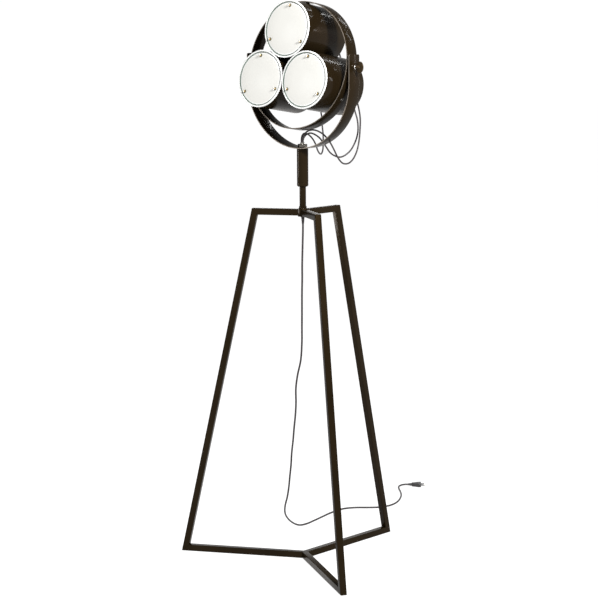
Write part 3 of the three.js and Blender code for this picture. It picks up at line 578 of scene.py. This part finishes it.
def make_plug():
    foot, top = span("plug_body")
    half = (top - foot) / 2
    bm = bmesh.new()
    prism(bm, eased(PLUG_OUTLINE, 0.003, steps=4), -half, half, 0.0026, PLUG, steps=5)
    rib_end = RIB_HEIGHT / 2
    rib_profile = [(0, -rib_end), (RIB_RADIUS, -rib_end), (RIB_RADIUS, rib_end), (0, rib_end)]
    for i in range(GRIP_RIBS):
        for side in (-1, 1):
            x, y = (first + i * step for first, step in zip(FIRST_RIB, RIB_STEP))
            rib = PLUG @ Matrix.Translation((x, side * y, 0)) @ about_z(side * RIB_TURN)
            lathe(bm, eased(rib_profile, 0.0008, False), rib, 16)
    profile = [(0, -RELIEF_LENGTH), (0.0036, -RELIEF_LENGTH)]
    for i in range(RELIEF_BANDS):
        x = -RELIEF_LENGTH + (i + 0.15) * RELIEF_LENGTH / RELIEF_BANDS
        radius = 0.0039 + 0.0019 * i / RELIEF_BANDS
        groove = radius - 0.0009
        profile += [(radius, x), (radius, x + 0.0017), (groove, x + 0.0019), (groove, x + 0.0024)]
    profile += [(0.0058, 0.001), (0.0055, 0.003), (0, 0.003)]
    lathe(bm, profile, PLUG @ TO_X, SMALL_SIDES)
    body = piece("plug_body", "moulded", bm, [BLACK_PLASTIC], "base")
    pins = []
    for name, side in (("plug_pin_near", -1), ("plug_pin_far", 1)):
        bm = bmesh.new()
        axis = PLUG @ Matrix.Translation((0, side * PIN_SPREAD, 0)) @ TO_X
        insulated = [(0, PIN_START), (0.00195, PIN_START), (0.00195, PIN_BARE - 0.0003), (0.0018, PIN_BARE)]
        lathe(bm, insulated, axis, SMALL_SIDES, [1] * 3)
        bare = [
            (0.0018, PIN_BARE), (0.002, PIN_BARE + 0.0002), (0.002, PIN_END - 0.0016),
            (0.0013, PIN_END - 0.0003), (0, PIN_END),
        ]
        lathe(bm, bare, axis, SMALL_SIDES)
        pins.append(piece(name, "turned", bm, [STEEL, BLACK_PLASTIC], "base"))
    return [body, *pins]


def ribbed_relief(bm, place, radii, start, end, bore, bands):
    """A tapered strain relief whose grooves run from `start` to its thin end."""
    way = 1 if end > start else -1
    pitch = abs(end - start) / bands
    profile = [(bore, start), (radii[0] * 1.02, start)]
    for i in range(bands):
        radius = radii[0] + (radii[1] - radii[0]) * (i + 0.5) / bands
        at = start + way * pitch * i
        profile += [
            (radius, at + way * pitch * 0.1),
            (radius, at + way * pitch * 0.62),
            (radius - 0.0006, at + way * pitch * 0.68),
            (radius - 0.0006, at + way * pitch * 0.98),
        ]
    profile += [(radii[1], end), (bore, end)]
    lathe(bm, profile, place, SMALL_SIDES)


def make_cord_gland():
    foot, top = span("cord_gland")
    radius = half_width("cord_gland")
    bore = CORD_DIAMETER / 2
    bm = bmesh.new()
    lathe(bm, ring_profile(bore, radius, top - 0.003, top, 0.0007), sides=SMALL_SIDES, closed=True)
    ribbed_relief(bm, Matrix(), (0.0054, 0.0037), top - 0.0028, foot, bore, 7)
    piece("cord_gland", "moulded", bm, [CABLE], "base")


# ---------- tripod

TUBE = 0.020
TUBE_CORNER = 0.0022
FRAME_TOP = high("top_arm_left").z
TOP_REACH = 0.1595  # from the axis to an arm's outer corner
FOOT_REACH = 0.402
HUB_REACH = 0.013
HUB_HALF_FACE = 0.012
SEAM = 0.0003  # chamfer that draws a fine line where two tubes meet
WELD_RADIUS = 0.0009
WELD_STEP = 0.0012
LEG_LEAN = (FOOT_REACH - TOP_REACH) / FRAME_TOP
LEG_DIRECTION = Vector((LEG_LEAN, 0, -1)).normalized()
LEG_SIDE = Vector((LEG_DIRECTION.z, 0, -LEG_DIRECTION.x))  # towards the axis


def inner_corner(height):
    """Where the inside of a leg crosses a height."""
    on_inside = Vector((TOP_REACH, 0, FRAME_TOP)) + LEG_SIDE * TUBE
    return on_inside.x + LEG_LEAN * (on_inside.z - height)


INNER_TOP = inner_corner(FRAME_TOP - TUBE)
INNER_FOOT = inner_corner(TUBE)


def square_section():
    half = TUBE / 2
    outline = [
        (-half, -half), (0, -half), (half, -half), (half, 0),
        (half, half), (0, half), (-half, half), (-half, 0),
    ]
    return eased(outline, TUBE_CORNER, steps=4)


def crossing(start, direction, point, normal):
    """The point of a line that lies in a plane."""
    return start + direction * ((point - start).dot(normal) / direction.dot(normal))


def square_bar(bm, place, origin, along, side, first_plane, last_plane):
    """A square tube with rounded edges between two planes, each a (point, normal) pair or a function."""
    def ring(plane, distance, shrink):
        made = []
        for u, v in section:
            scale = 1 - shrink / (TUBE / 2)
            line = origin + side * (u * scale) + Vector((0, 1, 0)) * (v * scale)
            point, normal = plane(v * scale) if callable(plane) else plane
            made.append(place @ (crossing(line, along, point, normal) + along * distance))
        return made

    section = square_section()
    skin(bm, [
        ring(first_plane, 0, SEAM), ring(first_plane, SEAM, 0),
        ring(last_plane, -SEAM, 0), ring(last_plane, 0, SEAM),
    ])


def mitre(outer_x, outer_z, inner_x, inner_z):
    """The plane through a corner's outer and inner points, as a point and a normal."""
    return Vector((outer_x, 0, outer_z)), Vector((outer_z - inner_z, 0, inner_x - outer_x)).normalized()


def make_tripod():
    top_mitre = mitre(TOP_REACH, FRAME_TOP, INNER_TOP, FRAME_TOP - TUBE)
    foot_mitre = mitre(FOOT_REACH, 0, INNER_FOOT, TUBE)
    hub_face = (Vector((HUB_REACH, 0, 0)), Vector((1, 0, 0)))

    def middle_mitre(v):
        """Three rails meet on the axis, each with a point of 120 degrees."""
        slant = math.copysign(1, v) if abs(v) > 1e-9 else 1
        return Vector((0, 0, 0)), Vector((math.sqrt(3), -slant, 0)).normalized()

    outward, up = Vector((1, 0, 0)), Vector((0, 0, 1))
    bars = {
        "top_arm": (Vector((0, 0, FRAME_TOP - TUBE / 2)), outward, up, hub_face, top_mitre),
        "leg": (
            Vector((TOP_REACH, 0, FRAME_TOP)) + LEG_SIDE * TUBE / 2,
            LEG_DIRECTION, LEG_SIDE, top_mitre, foot_mitre,
        ),
        "bottom_rail": (Vector((0, 0, TUBE / 2)), outward, up, middle_mitre, foot_mitre),
    }
    for side, azimuth in LEG_AZIMUTH.items():
        place = about_z(math.radians(azimuth))
        for name, bar in bars.items():
            bm = bmesh.new()
            square_bar(bm, place, *bar)
            hidden = ["bottom_hub"] if (name, side) == ("bottom_rail", "rear") else []
            piece(f"{name}_{side}", "painted", bm, [BRONZE], "base", hidden)


def make_top_hub():
    outline = []
    for azimuth in sorted(LEG_AZIMUTH.values()):
        face = math.radians(azimuth)
        for side in (-1, 1):
            outline.append((
                HUB_REACH * math.cos(face) - side * HUB_HALF_FACE * math.sin(face),
                HUB_REACH * math.sin(face) + side * HUB_HALF_FACE * math.cos(face),
            ))
    bm = bmesh.new()
    prism(bm, eased(outline, 0.0012), *span("top_hub"), 0.0009)
    half = TUBE / 2
    corners = eased([(-half, -half), (half, -half), (half, half), (-half, half)], 0.003, steps=4)
    for azimuth in LEG_AZIMUTH.values():
        place = about_z(math.radians(azimuth))
        loop = []
        for i, here in enumerate(corners):
            here, following = Vector(here), Vector(corners[(i + 1) % len(corners)])
            count = max(1, round((following - here).length / WELD_STEP))
            loop += [here.lerp(following, k / count) for k in range(count)]
        points = [place @ Vector((HUB_REACH + 0.0003, y, FRAME_TOP - half + z)) for y, z in loop]
        bead(bm, points, WELD_RADIUS)
    piece("top_hub", "painted", bm, [BRONZE], "base")


# ---------- stem and swivel

STEM_RADIUS = 0.010
STEM_WALL = 0.002
STEM_SIDES = 64
SLEEVE_BORE = 0.0123
SLEEVE_NECK = 0.0077  # bore at the sleeve's top, for the nipple
YOKE_NUT_FLATS = 0.026


def make_stem():
    bm = bmesh.new()
    wall = ring_profile(STEM_RADIUS - STEM_WALL, STEM_RADIUS, *span("stem_tube"), 0.0006)
    lathe(bm, wall, sides=STEM_SIDES, closed=True)
    piece("stem_tube", "painted", bm, [BRONZE], "base")
    bottom, top = span("stem_collar")
    radius, hole = half_width("stem_collar"), STEM_RADIUS + 0.0002
    profile = [(hole, bottom), (radius, bottom), (radius, top - 0.001), (radius - 0.001, top), (hole, top)]
    bm = bmesh.new()
    lathe(bm, eased(profile, 0.0004), sides=STEM_SIDES, closed=True)
    piece("stem_collar", "painted", bm, [BRONZE], "base")


def make_swivel():
    bottom, top = span("swivel_sleeve")
    radius, seat = half_width("swivel_sleeve"), high("stem_tube").z + GAP
    profile = [
        (SLEEVE_BORE, bottom), (radius - 0.003, bottom), (radius, bottom + 0.003), (radius, bottom + 0.012),
        (radius - 0.0006, bottom + 0.0124), (radius - 0.0006, bottom + 0.0134), (radius, bottom + 0.0138),
        (radius, top - 0.0012), (radius - 0.0012, top), (SLEEVE_NECK, top), (SLEEVE_NECK, seat),
        (SLEEVE_BORE, seat),
    ]
    bm = bmesh.new()
    lathe(bm, eased(profile, 0.0005), closed=True)
    piece("swivel_sleeve", "painted", bm, [BRONZE], "yoke")

    bm = bmesh.new()
    bush = ring_profile(STEM_RADIUS + GAP, SLEEVE_BORE - GAP, *span("swivel_bush"), 0.0005)
    lathe(bm, bush, closed=True)
    piece("swivel_bush", "turned", bm, [NYLON], "yoke")

    bm = bmesh.new()
    nut(bm, YOKE_NUT_FLATS, *span("yoke_nut"), SLEEVE_NECK)
    piece("yoke_nut", "plated", bm, [DARK_CHROME], "yoke")

    bottom, top = span("cable_nipple")
    outer, inner, pitch = half_width("cable_nipple"), 0.0057, 0.0015
    root = outer - 0.0006
    profile = [(inner, bottom), (root, bottom)]
    count = round((top - bottom - 0.002) / pitch)
    for i in range(count):
        profile += [(outer, bottom + (i + 0.5) * pitch), (root, bottom + (i + 1) * pitch)]
    profile += [
        (outer - 0.0004, top - 0.0008), (outer - 0.0009, top), (inner + 0.0004, top), (inner, top - 0.0005),
    ]
    bm = bmesh.new()
    lathe(bm, profile, sides=SMALL_SIDES, closed=True)
    piece("cable_nipple", "threaded", bm, [STEEL], "yoke")


# ---------- yoke and ring

YOKE_RADIUS = 0.203  # outside of the half circle
YOKE_CENTRE = 1.491
YOKE_TOP = high("yoke").z
STRIP = 0.003
STRIP_EASE = 0.0005
END_CORNER = 0.005  # rounding of the yoke's two ends
END_STEPS = 6
YOKE_STEPS = 96
RING_STEPS = 160
RING_RADIUS = half_width("ring_hoop")
RING_WIDTH = 0.0465
RING_NUT_FLATS = 0.0138
SCREW_HOLE = 0.0043
BOSS_LENGTH = 0.003
BOSS_RADIUS = 0.012
AT_PIVOT = {"right": Matrix.Translation(PIVOT) @ TO_X, "left": Matrix.Translation(PIVOT) @ TO_MINUS_X}


def strip_ring(place, outward, width):
    """The section of a flat strip: its outer face is at `place`, and its width runs along Y."""
    half = width / 2
    ease = min(STRIP_EASE, half * 0.45)
    section = eased([(-STRIP, -half), (0, -half), (0, half), (-STRIP, half)], ease, steps=2)
    return [place + outward * x + Vector((0, y, 0)) for x, y in section]


def on_edge(stretch, side):
    """Material of a strip's sides: lighter paint as a painted highlight on the whole front edge and on the
    rear edge's corners.
    """
    return 1 if side <= 4 or side in (6, 7, 9, 10) else 0


def make_yoke():
    width = high("yoke").y - low("yoke").y
    stations = []
    for k in range(END_STEPS + 1):
        turn = math.pi / 2 * k / END_STEPS
        inwards = END_CORNER * (1 - math.cos(turn))
        stations.append((YOKE_TOP - inwards, width - 2 * END_CORNER * (1 - math.sin(turn))))
    rings = [strip_ring(Vector((YOKE_RADIUS, 0, z)), Vector((1, 0, 0)), w) for z, w in stations]
    for k in range(YOKE_STEPS + 1):
        angle = -math.pi * k / YOKE_STEPS
        outward = Vector((math.cos(angle), 0, math.sin(angle)))
        rings.append(strip_ring(Vector((0, 0, YOKE_CENTRE)) + outward * YOKE_RADIUS, outward, width))
    for z, w in reversed(stations):
        rings.append(strip_ring(Vector((-YOKE_RADIUS, 0, z)), Vector((-1, 0, 0)), w))
    bm = bmesh.new()
    skin(bm, rings, on_edge)
    seat, end = YOKE_RADIUS, YOKE_RADIUS + BOSS_LENGTH
    boss = [
        (SCREW_HOLE, seat - 0.001), (BOSS_RADIUS + 0.0014, seat - 0.001),
        (BOSS_RADIUS + 0.0012, seat + 0.0002), (BOSS_RADIUS + 0.0004, seat + 0.0006),
        (BOSS_RADIUS, seat + 0.0014), (BOSS_RADIUS, end - 0.001), (BOSS_RADIUS - 0.001, end),
        (SCREW_HOLE, end),
    ]
    for place in AT_PIVOT.values():
        lathe(bm, boss, place, SMALL_SIDES, closed=True)
    piece("yoke", "painted", bm, [BRONZE, EDGE_HIGHLIGHT_BRONZE], "yoke")

    for side, place in AT_PIVOT.items():
        bm = bmesh.new()
        washer = ring_profile(SCREW_HOLE, 0.008, RING_RADIUS + GAP, YOKE_RADIUS - STRIP - GAP, 0.0008)
        lathe(bm, washer, place, SMALL_SIDES, closed=True)
        piece(f"tilt_spacer_{side}", "turned", bm, [NYLON], "yoke")


def make_ring():
    rings = []
    for k in range(RING_STEPS):
        angle = math.tau * k / RING_STEPS
        outward = Vector((math.cos(angle), 0, math.sin(angle)))
        section = strip_ring(outward * RING_RADIUS, outward, RING_WIDTH)
        rings.append([HEAD @ p for p in section])
    bm = bmesh.new()
    skin(bm, rings, on_edge, loop=True)
    inner = RING_RADIUS - STRIP
    for place in (TO_X, TO_MINUS_X):
        nut(bm, RING_NUT_FLATS, inner - 0.005, inner + 0.001, SCREW_HOLE, HEAD @ place)
    piece("ring_hoop", "painted", bm, [BRONZE, EDGE_HIGHLIGHT_BRONZE], "lamp_head")


# ---------- tilt screws and paddles

SCREW_RADIUS = 0.004
SCREW_START = 0.180
PADDLE_START = 0.211
PADDLE_LENGTH = 0.026
PADDLE_HEIGHT = 0.034
PADDLE_THICKNESS = 0.004


def make_knobs():
    thread_end = YOKE_RADIUS - 0.004
    flange, hub = YOKE_RADIUS + BOSS_LENGTH + GAP, PADDLE_START - 0.001
    for side, place in AT_PIVOT.items():
        bm = bmesh.new()
        thread(bm, SCREW_RADIUS, SCREW_START, thread_end, place)
        shank = [
            (0, thread_end), (SCREW_RADIUS, thread_end), (SCREW_RADIUS, flange), (0.0063, flange),
            (0.0065, flange + 0.0003), (0.0065, flange + 0.0016), (0.0058, flange + 0.0022),
            (0.0041, flange + 0.003), (0.0041, hub + 0.0005), (0, hub + 0.0005),
        ]
        lathe(bm, shank, place, SMALL_SIDES)
        piece(f"tilt_screw_{side}", "turned", bm, [STEEL], f"knob_{side}")

        bm = bmesh.new()
        hub_profile = [
            (0, hub), (0.0056, hub), (0.0063, hub + 0.0008), (0.0062, hub + 0.006), (0.0048, hub + 0.011),
            (0.0026, hub + 0.0145), (0, hub + 0.015),
        ]
        lathe(bm, eased(hub_profile, 0.001, False), place, SMALL_SIDES)
        middle = PADDLE_START + PADDLE_LENGTH / 2
        oval = [(x * PADDLE_HEIGHT / 2, middle + y * PADDLE_LENGTH / 2) for x, y in circle(1, 72)]
        blade = place @ Matrix.Rotation(math.pi / 2, 4, "X")
        half = PADDLE_THICKNESS / 2
        prism(bm, oval, -half, half, 0.0012, blade, steps=4)
        piece(f"tilt_paddle_{side}", "painted", bm, [PADDLE_BRONZE_LIT], f"knob_{side}")


# ---------- spotlights

GLASS_RADIUS = 0.0865
GLASS_FRONT = -0.087
GLASS_BACK = -0.083
GLASS_SCREW_CIRCLE = 0.070
GLASS_SCREW_ANGLES = (90, 210, 330)
GLASS_TURN = {"top": -3, "left": 5, "right": -5}  # degrees that each glass is turned in its can
# Middle and reach of the painted glow on each glass, off the can's axis.
GLOW_PLACE = (0.020, 0.010, GLASS_FRONT)
GLOW_REACH = 0.058
GLASS_SCREW_RADIUS = 0.002
GLASS_SCREW_HEAD = 0.0034
CAN_WALL = 0.001
CAN_BOSS = 0.006  # radius of the welded boss for the can's fixing screw
CAP_HOLE = 0.0053
GLAND_NUT_FLATS = 0.0176
BULB_CENTRE = -0.026
BULB_RADIUS = 0.022
BULB_NECK = 0.013
BULB_PITCH = 0.0045  # of the thread on its cap
VENTS = 6
VENT_CIRCLE = 0.052
VENT_LENGTH = 0.026
VENT_WIDTH = 0.004


def toward_ring(which):
    """The frame at a can's fixing screw: local Z points away from the ring's centre."""
    return HEAD @ Matrix.Rotation(math.radians(90 - CAN_ANGLE[which]), 4, "Y")


def make_can(which):
    bm = bmesh.new()
    inner = CAN_RADIUS - CAN_WALL
    shell = [
        (inner, CAN_FRONT + 0.0012), (inner - 0.0008, CAN_FRONT + 0.0006), (inner - 0.0004, CAN_FRONT),
        (CAN_RADIUS - 0.0003, CAN_FRONT), (CAN_RADIUS, CAN_FRONT + 0.0004), (CAN_RADIUS, CAN_FRONT + 0.003),
        (CAN_RADIUS, CAN_REAR - 0.001), (CAN_RADIUS - 0.0004, CAN_REAR), (inner, CAN_REAR),
    ]
    lathe(bm, shell, can_place(which), closed=True)
    edge = CAN_CIRCLE + CAN_RADIUS
    boss = ring_profile(0.0028, CAN_BOSS, edge - 0.001, RING_RADIUS - STRIP - 2 * GAP, 0.0005)
    lathe(bm, boss, toward_ring(which), SMALL_SIDES, closed=True)
    piece(f"can_{which}", "painted", bm, [BRONZE], "lamp_head")


def make_can_screw(which):
    bm = bmesh.new()
    seat = RING_RADIUS + GAP
    head = [
        (0, seat - 0.012), (0.0025, seat - 0.012), (0.0025, seat), (0.005, seat), (0.005, seat + 0.0004),
        (0.0046, seat + 0.0012), (0.0036, seat + 0.0018), (0.0022, seat + 0.002), (0.002, seat + 0.0018),
        (0.0018, seat + 0.0008), (0, seat + 0.0006),
    ]
    lathe(bm, head, toward_ring(which), SMALL_SIDES)
    piece(f"can_screw_{which}", "plated", bm, [DARK_CHROME], "lamp_head")


def slot_outline():
    """A vent slot with round ends, about its own middle."""
    straight = (VENT_LENGTH - VENT_WIDTH) / 2
    right = [(straight + x, y) for x, y in (polar(VENT_WIDTH / 2, a) for a in range(-90, 91, 18))]
    left = [(-straight + x, y) for x, y in (polar(VENT_WIDTH / 2, a) for a in range(90, 271, 18))]
    return right + left


def polar(radius, degrees):
    return radius * math.cos(math.radians(degrees)), radius * math.sin(math.radians(degrees))


def vented_cap():
    """The rear cap about its own axis: a dished plate with a folded rim, cut by six vent slots."""
    outer = CAN_RADIUS - CAN_WALL - GAP
    plate = CAP_REAR - 0.001
    profile = [
        (CAP_HOLE, plate), (0.020, plate), (0.0225, plate - 0.0012), (0.070, plate - 0.0012), (0.0725, plate),
        (outer - 0.001, plate), (outer - 0.001, CAP_REAR - 0.012), (outer, CAP_REAR - 0.012),
        (outer, CAP_REAR - 0.001), (outer - 0.001, CAP_REAR), (0.073, CAP_REAR), (0.0705, CAP_REAR - 0.0012),
        (0.022, CAP_REAR - 0.0012), (0.0195, CAP_REAR), (CAP_HOLE, CAP_REAR),
    ]
    bm = bmesh.new()
    lathe(bm, eased(profile, 0.0004, steps=2), closed=True)
    cap = plain_object("cap_blank", bm)
    bm = bmesh.new()
    outline = slot_outline()
    for i in range(VENTS):
        turn = about_z(i * math.tau / VENTS) @ Matrix.Translation((0, VENT_CIRCLE, 0))
        skin(bm, [[turn @ Vector((x, y, z)) for x, y in outline] for z in (plate - 0.004, CAP_REAR + 0.004)])
    slots = plain_object("cap_slots", bm)
    cut = cap.modifiers.new("vents", "BOOLEAN")
    cut.object = slots
    cut.operation = "DIFFERENCE"
    cut.solver = "EXACT"
    depsgraph = bpy.context.evaluated_depsgraph_get()
    mesh = bpy.data.meshes.new_from_object(cap.evaluated_get(depsgraph))
    for scrap in (cap, slots):
        bpy.data.objects.remove(scrap)
    return mesh


def make_rear_cap(which, cap_mesh):
    bm = bmesh.new()
    bm.from_mesh(cap_mesh)
    bm.transform(can_place(which))
    piece(f"rear_cap_{which}", "pressed", bm, [BRONZE], "lamp_head")


def glass_screw_places(which):
    for angle in GLASS_SCREW_ANGLES:
        turn = about_z(math.radians(-angle - GLASS_TURN[which]))
        yield can_place(which) @ turn @ Matrix.Translation((GLASS_SCREW_CIRCLE, 0, 0))


def make_glass(which):
    """A thick disc: a white margin, a cut groove that shows dark green, and an etched middle set back."""
    place = can_place(which)
    bm = bmesh.new()
    margin, step, bright = 0.0818, 0.0790, 0.0755
    floor = GLASS_FRONT + 0.002
    middle = floor - 0.0008
    profile = [
        (0, GLASS_BACK), (GLASS_RADIUS - 0.0004, GLASS_BACK), (GLASS_RADIUS, GLASS_BACK - 0.0004),
        (GLASS_RADIUS, GLASS_FRONT + 0.0008), (GLASS_RADIUS - 0.0002, GLASS_FRONT + 0.0003),
        (GLASS_RADIUS - 0.0008, GLASS_FRONT), (margin + 0.0003, GLASS_FRONT), (margin, GLASS_FRONT + 0.0002),
        (step, floor), (step - 0.0008, floor - 0.0001), (bright, floor - 0.0006), (0.04, floor - 0.0007),
        (0, middle),
    ]
    lathe(bm, profile, place, looks=[1, 1, 1, 1, 1, 1, 2, 2, 2, 1, 0, 0])
    # A dark green ring round each screw: partly the hole's cut edge, partly a painted reflection and shadow
    # of the screw on the glass.
    rim = [(0.0021, middle), (0.0021, middle - 0.0002), (0.0052, middle - 0.0002), (0.0054, middle)]
    for screw in glass_screw_places(which):
        lathe(bm, rim, screw, SMALL_SIDES, [2] * len(rim), closed=True)
    etched = frosted(f"frosted_glass_{which}", place @ Vector(GLOW_PLACE), GLOW_REACH)
    piece(f"glass_{which}", "etched", bm, [etched, WHITE_MARGIN, GLASS_EDGE], "lamp_head")


def make_glass_screws(which):
    """Three brass screws, and the hoop and tabs behind the glass that they pull on."""
    bm = bmesh.new()
    place = can_place(which)
    seat, end = GLASS_FRONT + 0.0016, GLASS_FRONT - GAP - 0.0055
    shank_end, radius = seat + 0.006, GLASS_SCREW_RADIUS
    head = [
        (0, shank_end), (radius, shank_end), (radius, seat), (GLASS_SCREW_HEAD, seat),
        (GLASS_SCREW_HEAD, end + 0.0010),
        (0.0029, end + 0.0002), (0.0023, end), (0, end),
    ]
    outer = CAN_RADIUS - CAN_WALL - GAP
    back = CAN_FRONT + 0.001
    tab = eased([(-0.006, -0.005), (outer - 0.0707, -0.005), (outer - 0.0707, 0.005), (-0.006, 0.005)], 0.003)
    for screw in glass_screw_places(which):
        # The screws' outer ends take the near-white brass, a painted highlight.
        lathe(bm, head, screw, SMALL_SIDES, [0, 0, 0, 0, 0, 1, 1])
        prism(bm, tab, back, back + 0.0015, 0.0004, screw)
    lathe(bm, ring_profile(outer - 0.0015, outer, back, back + 0.006, 0.0004), place, closed=True)
    piece(f"glass_clips_{which}", "brass", bm, [BRASS, BRASS_END_HIGHLIGHT], "lamp_head")


def make_lead_gland(which):
    place = can_place(which)
    seat, bore = CAP_REAR + GAP, LEAD_DIAMETER / 2
    bm = bmesh.new()
    stub = ring_profile(bore, 0.0049, CAP_REAR - 0.006, seat + 0.001, 0.0004)
    lathe(bm, stub, place, SMALL_SIDES, closed=True)
    nut(bm, GLAND_NUT_FLATS, seat, seat + 0.006, bore, place)
    ribbed_relief(bm, place, (0.006, 0.0042), seat + 0.0058, GLAND_END, bore, 6)
    piece(f"lead_gland_{which}", "moulded", bm, [BLACK_PLASTIC], "lamp_head")


def make_inner_parts(which):
    """The reflector, the lamp holder and the bulb behind the glass."""
    place = can_place(which)
    inside = [(0.077, -0.072), (0.064, -0.045), (0.046, -0.020), (0.024, -0.006)]
    outside = [(r + 0.0012, z + 0.0012) for r, z in reversed(inside)]
    bm = bmesh.new()
    lathe(bm, eased(inside, 0.012, False, 6) + eased(outside, 0.012, False, 6), place, closed=True)
    piece(f"reflector_{which}", "spun", bm, [ALUMINIUM], "lamp_head")
    bm = bmesh.new()
    holder = [
        (0, 0.046), (0.014, 0.046), (0.014, 0), (0.020, 0), (0.020, 0.016), (0.0188, 0.0165),
        (0.0188, 0.0185), (0.020, 0.019), (0.020, 0.048), (0.014, 0.058), (0, 0.058),
    ]
    lathe(bm, eased(holder, 0.001, False), place)
    piece(f"lamp_holder_{which}", "glazed", bm, [PORCELAIN], "lamp_head")
    bm = bmesh.new()
    profile = [(0, BULB_CENTRE - BULB_RADIUS)]
    profile += [(x, BULB_CENTRE + y) for x, y in (polar(BULB_RADIUS, a) for a in range(-84, 49, 6))]
    glass_stretches = len(profile)
    profile += [(BULB_NECK, -0.002), (BULB_NECK, 0.0)]
    for i in range(6):
        ridge, groove = (0.002 + (i + part) * BULB_PITCH for part in (0.3, 0.8))
        profile += [(BULB_NECK, ridge), (BULB_NECK - 0.0009, groove)]
    profile += [(0.011, 0.031), (0.005, 0.036), (0.005, 0.038), (0, 0.038)]
    looks = [0 if k < glass_stretches else 1 for k in range(len(profile))]
    lathe(bm, profile, place, looks=looks)
    piece(f"bulb_{which}", "blown", bm, [BULB_GLASS, ALUMINIUM], "lamp_head")


def make_spotlights():
    cap_mesh = vented_cap()
    for which in CAN_ANGLE:
        make_can(which)
        make_can_screw(which)
        make_rear_cap(which, cap_mesh)
        make_glass(which)
        make_glass_screws(which)
        make_lead_gland(which)
        make_inner_parts(which)


# ---------- studio

FLOOR_REACH = 30
FLOOR_GLOW = 0.89
SKY_STRENGTH = 1.1
DOME_STRENGTH = 1.02

# Each light's place, the point it faces, its size and its power in watts. The three streak lights stand
# behind the lamp, where their reflections run along the cans and the ring.
AREA_LIGHTS = {
    "key_softbox": ((-2.4, -4.2, 3.6), (0, 0, 1.1), (1.2, 1.2), 45),
    "top_softbox": ((0.3, 0.4, 4.6), (0, 0, 1.2), (1.4, 1.4), 40),
    "side_strip": ((-2.4, -2.0, 0.98), (0, 0, 1.2), (0.35, 0.6), 22),
    "right_softbox": ((2.3, -0.8, 2.6), (0, 0, 1.5), (0.45, 0.45), 185),
    "low_rear_softbox": ((-2.6, 3.0, 1.1), (0, 0, 0.1), (2.4, 0.7), 9),
    "rear_streak_high": ((-0.35, 3.75, 3.75), (0, 0, 1.6), (0.07, 0.9), 9),
    "rear_streak_middle": ((1.31, 3.68, 3.62), (0, 0, 1.6), (0.07, 0.9), 9),
    "rear_streak_low": ((2.75, 3.42, 1.86), (0, 0, 1.6), (0.07, 0.9), 9),
}


def area_light(name, place, target, size, power):
    data = bpy.data.lights.new(name, "AREA")
    data.shape = "RECTANGLE"
    data.size, data.size_y = size
    data.energy = power
    light = in_scene(name, data)
    light.location = place
    light.rotation_euler = (Vector(target) - Vector(place)).to_track_quat("-Z", "Y").to_euler()


def make_world():
    """Even white light from the sides and below the horizon, and a dimmer dome above for the softboxes."""
    world = bpy.data.worlds.new("studio")
    world.use_nodes = True
    nodes, links = world.node_tree.nodes, world.node_tree.links
    direction = nodes.new("ShaderNodeTexCoord").outputs["Generated"]
    split = nodes.new("ShaderNodeSeparateXYZ")
    links.new(direction, split.inputs["Vector"])
    dome = nodes.new("ShaderNodeValToRGB")
    dome.color_ramp.interpolation = "EASE"
    horizon, above = dome.color_ramp.elements
    horizon.position, horizon.color = 0.03, (1, 1, 1, 1)
    above.position, above.color = 0.25, (0.28, 0.28, 0.28, 1)
    links.new(split.outputs["Z"], dome.inputs["Fac"])
    background = nodes["Background"]
    links.new(dome.outputs["Color"], background.inputs["Color"])
    background.inputs["Strength"].default_value = DOME_STRENGTH
    bpy.context.scene.world = world


def make_floor():
    bm = bmesh.new()
    reach, corners = FLOOR_REACH, ((-1, -1), (1, -1), (1, 1), (-1, 1))
    bm.faces.new([bm.verts.new((x * reach, y * reach, -0.0005)) for x, y in corners])
    floor = plain_object("floor", bm)
    look = Look("pale_floor", (0.2, 0.2, 0.2), 0.9, 0.0, Specular_IOR_Level=0.0)
    look.link(look.ramp(look.noise(3, 2), [(0.2, 0.19), (0.8, 0.21)]), "Base Color")
    look.set("Emission Color", (1, 1, 1, 1))
    look.set("Emission Strength", FLOOR_GLOW)
    floor.data.materials.append(look.material)


def make_lights():
    overhead = bpy.data.lights.new("overhead_sky", "SUN")
    overhead.energy = SKY_STRENGTH
    overhead.angle = math.radians(80)
    sky = in_scene("overhead_sky", overhead)
    sky.rotation_euler = (math.radians(20), 0, math.radians(40))

    for name, settings in AREA_LIGHTS.items():
        area_light(name, *settings)


# ---------- the whole

make_camera()
make_cord_gland()
make_mains_cord(make_plug())
make_leads()
make_tripod()
make_top_hub()
make_stem()
make_swivel()
make_yoke()
make_ring()
make_knobs()
make_spotlights()
make_floor()
make_world()
make_lights()
bpy.context.scene.view_settings.view_transform = "Standard"
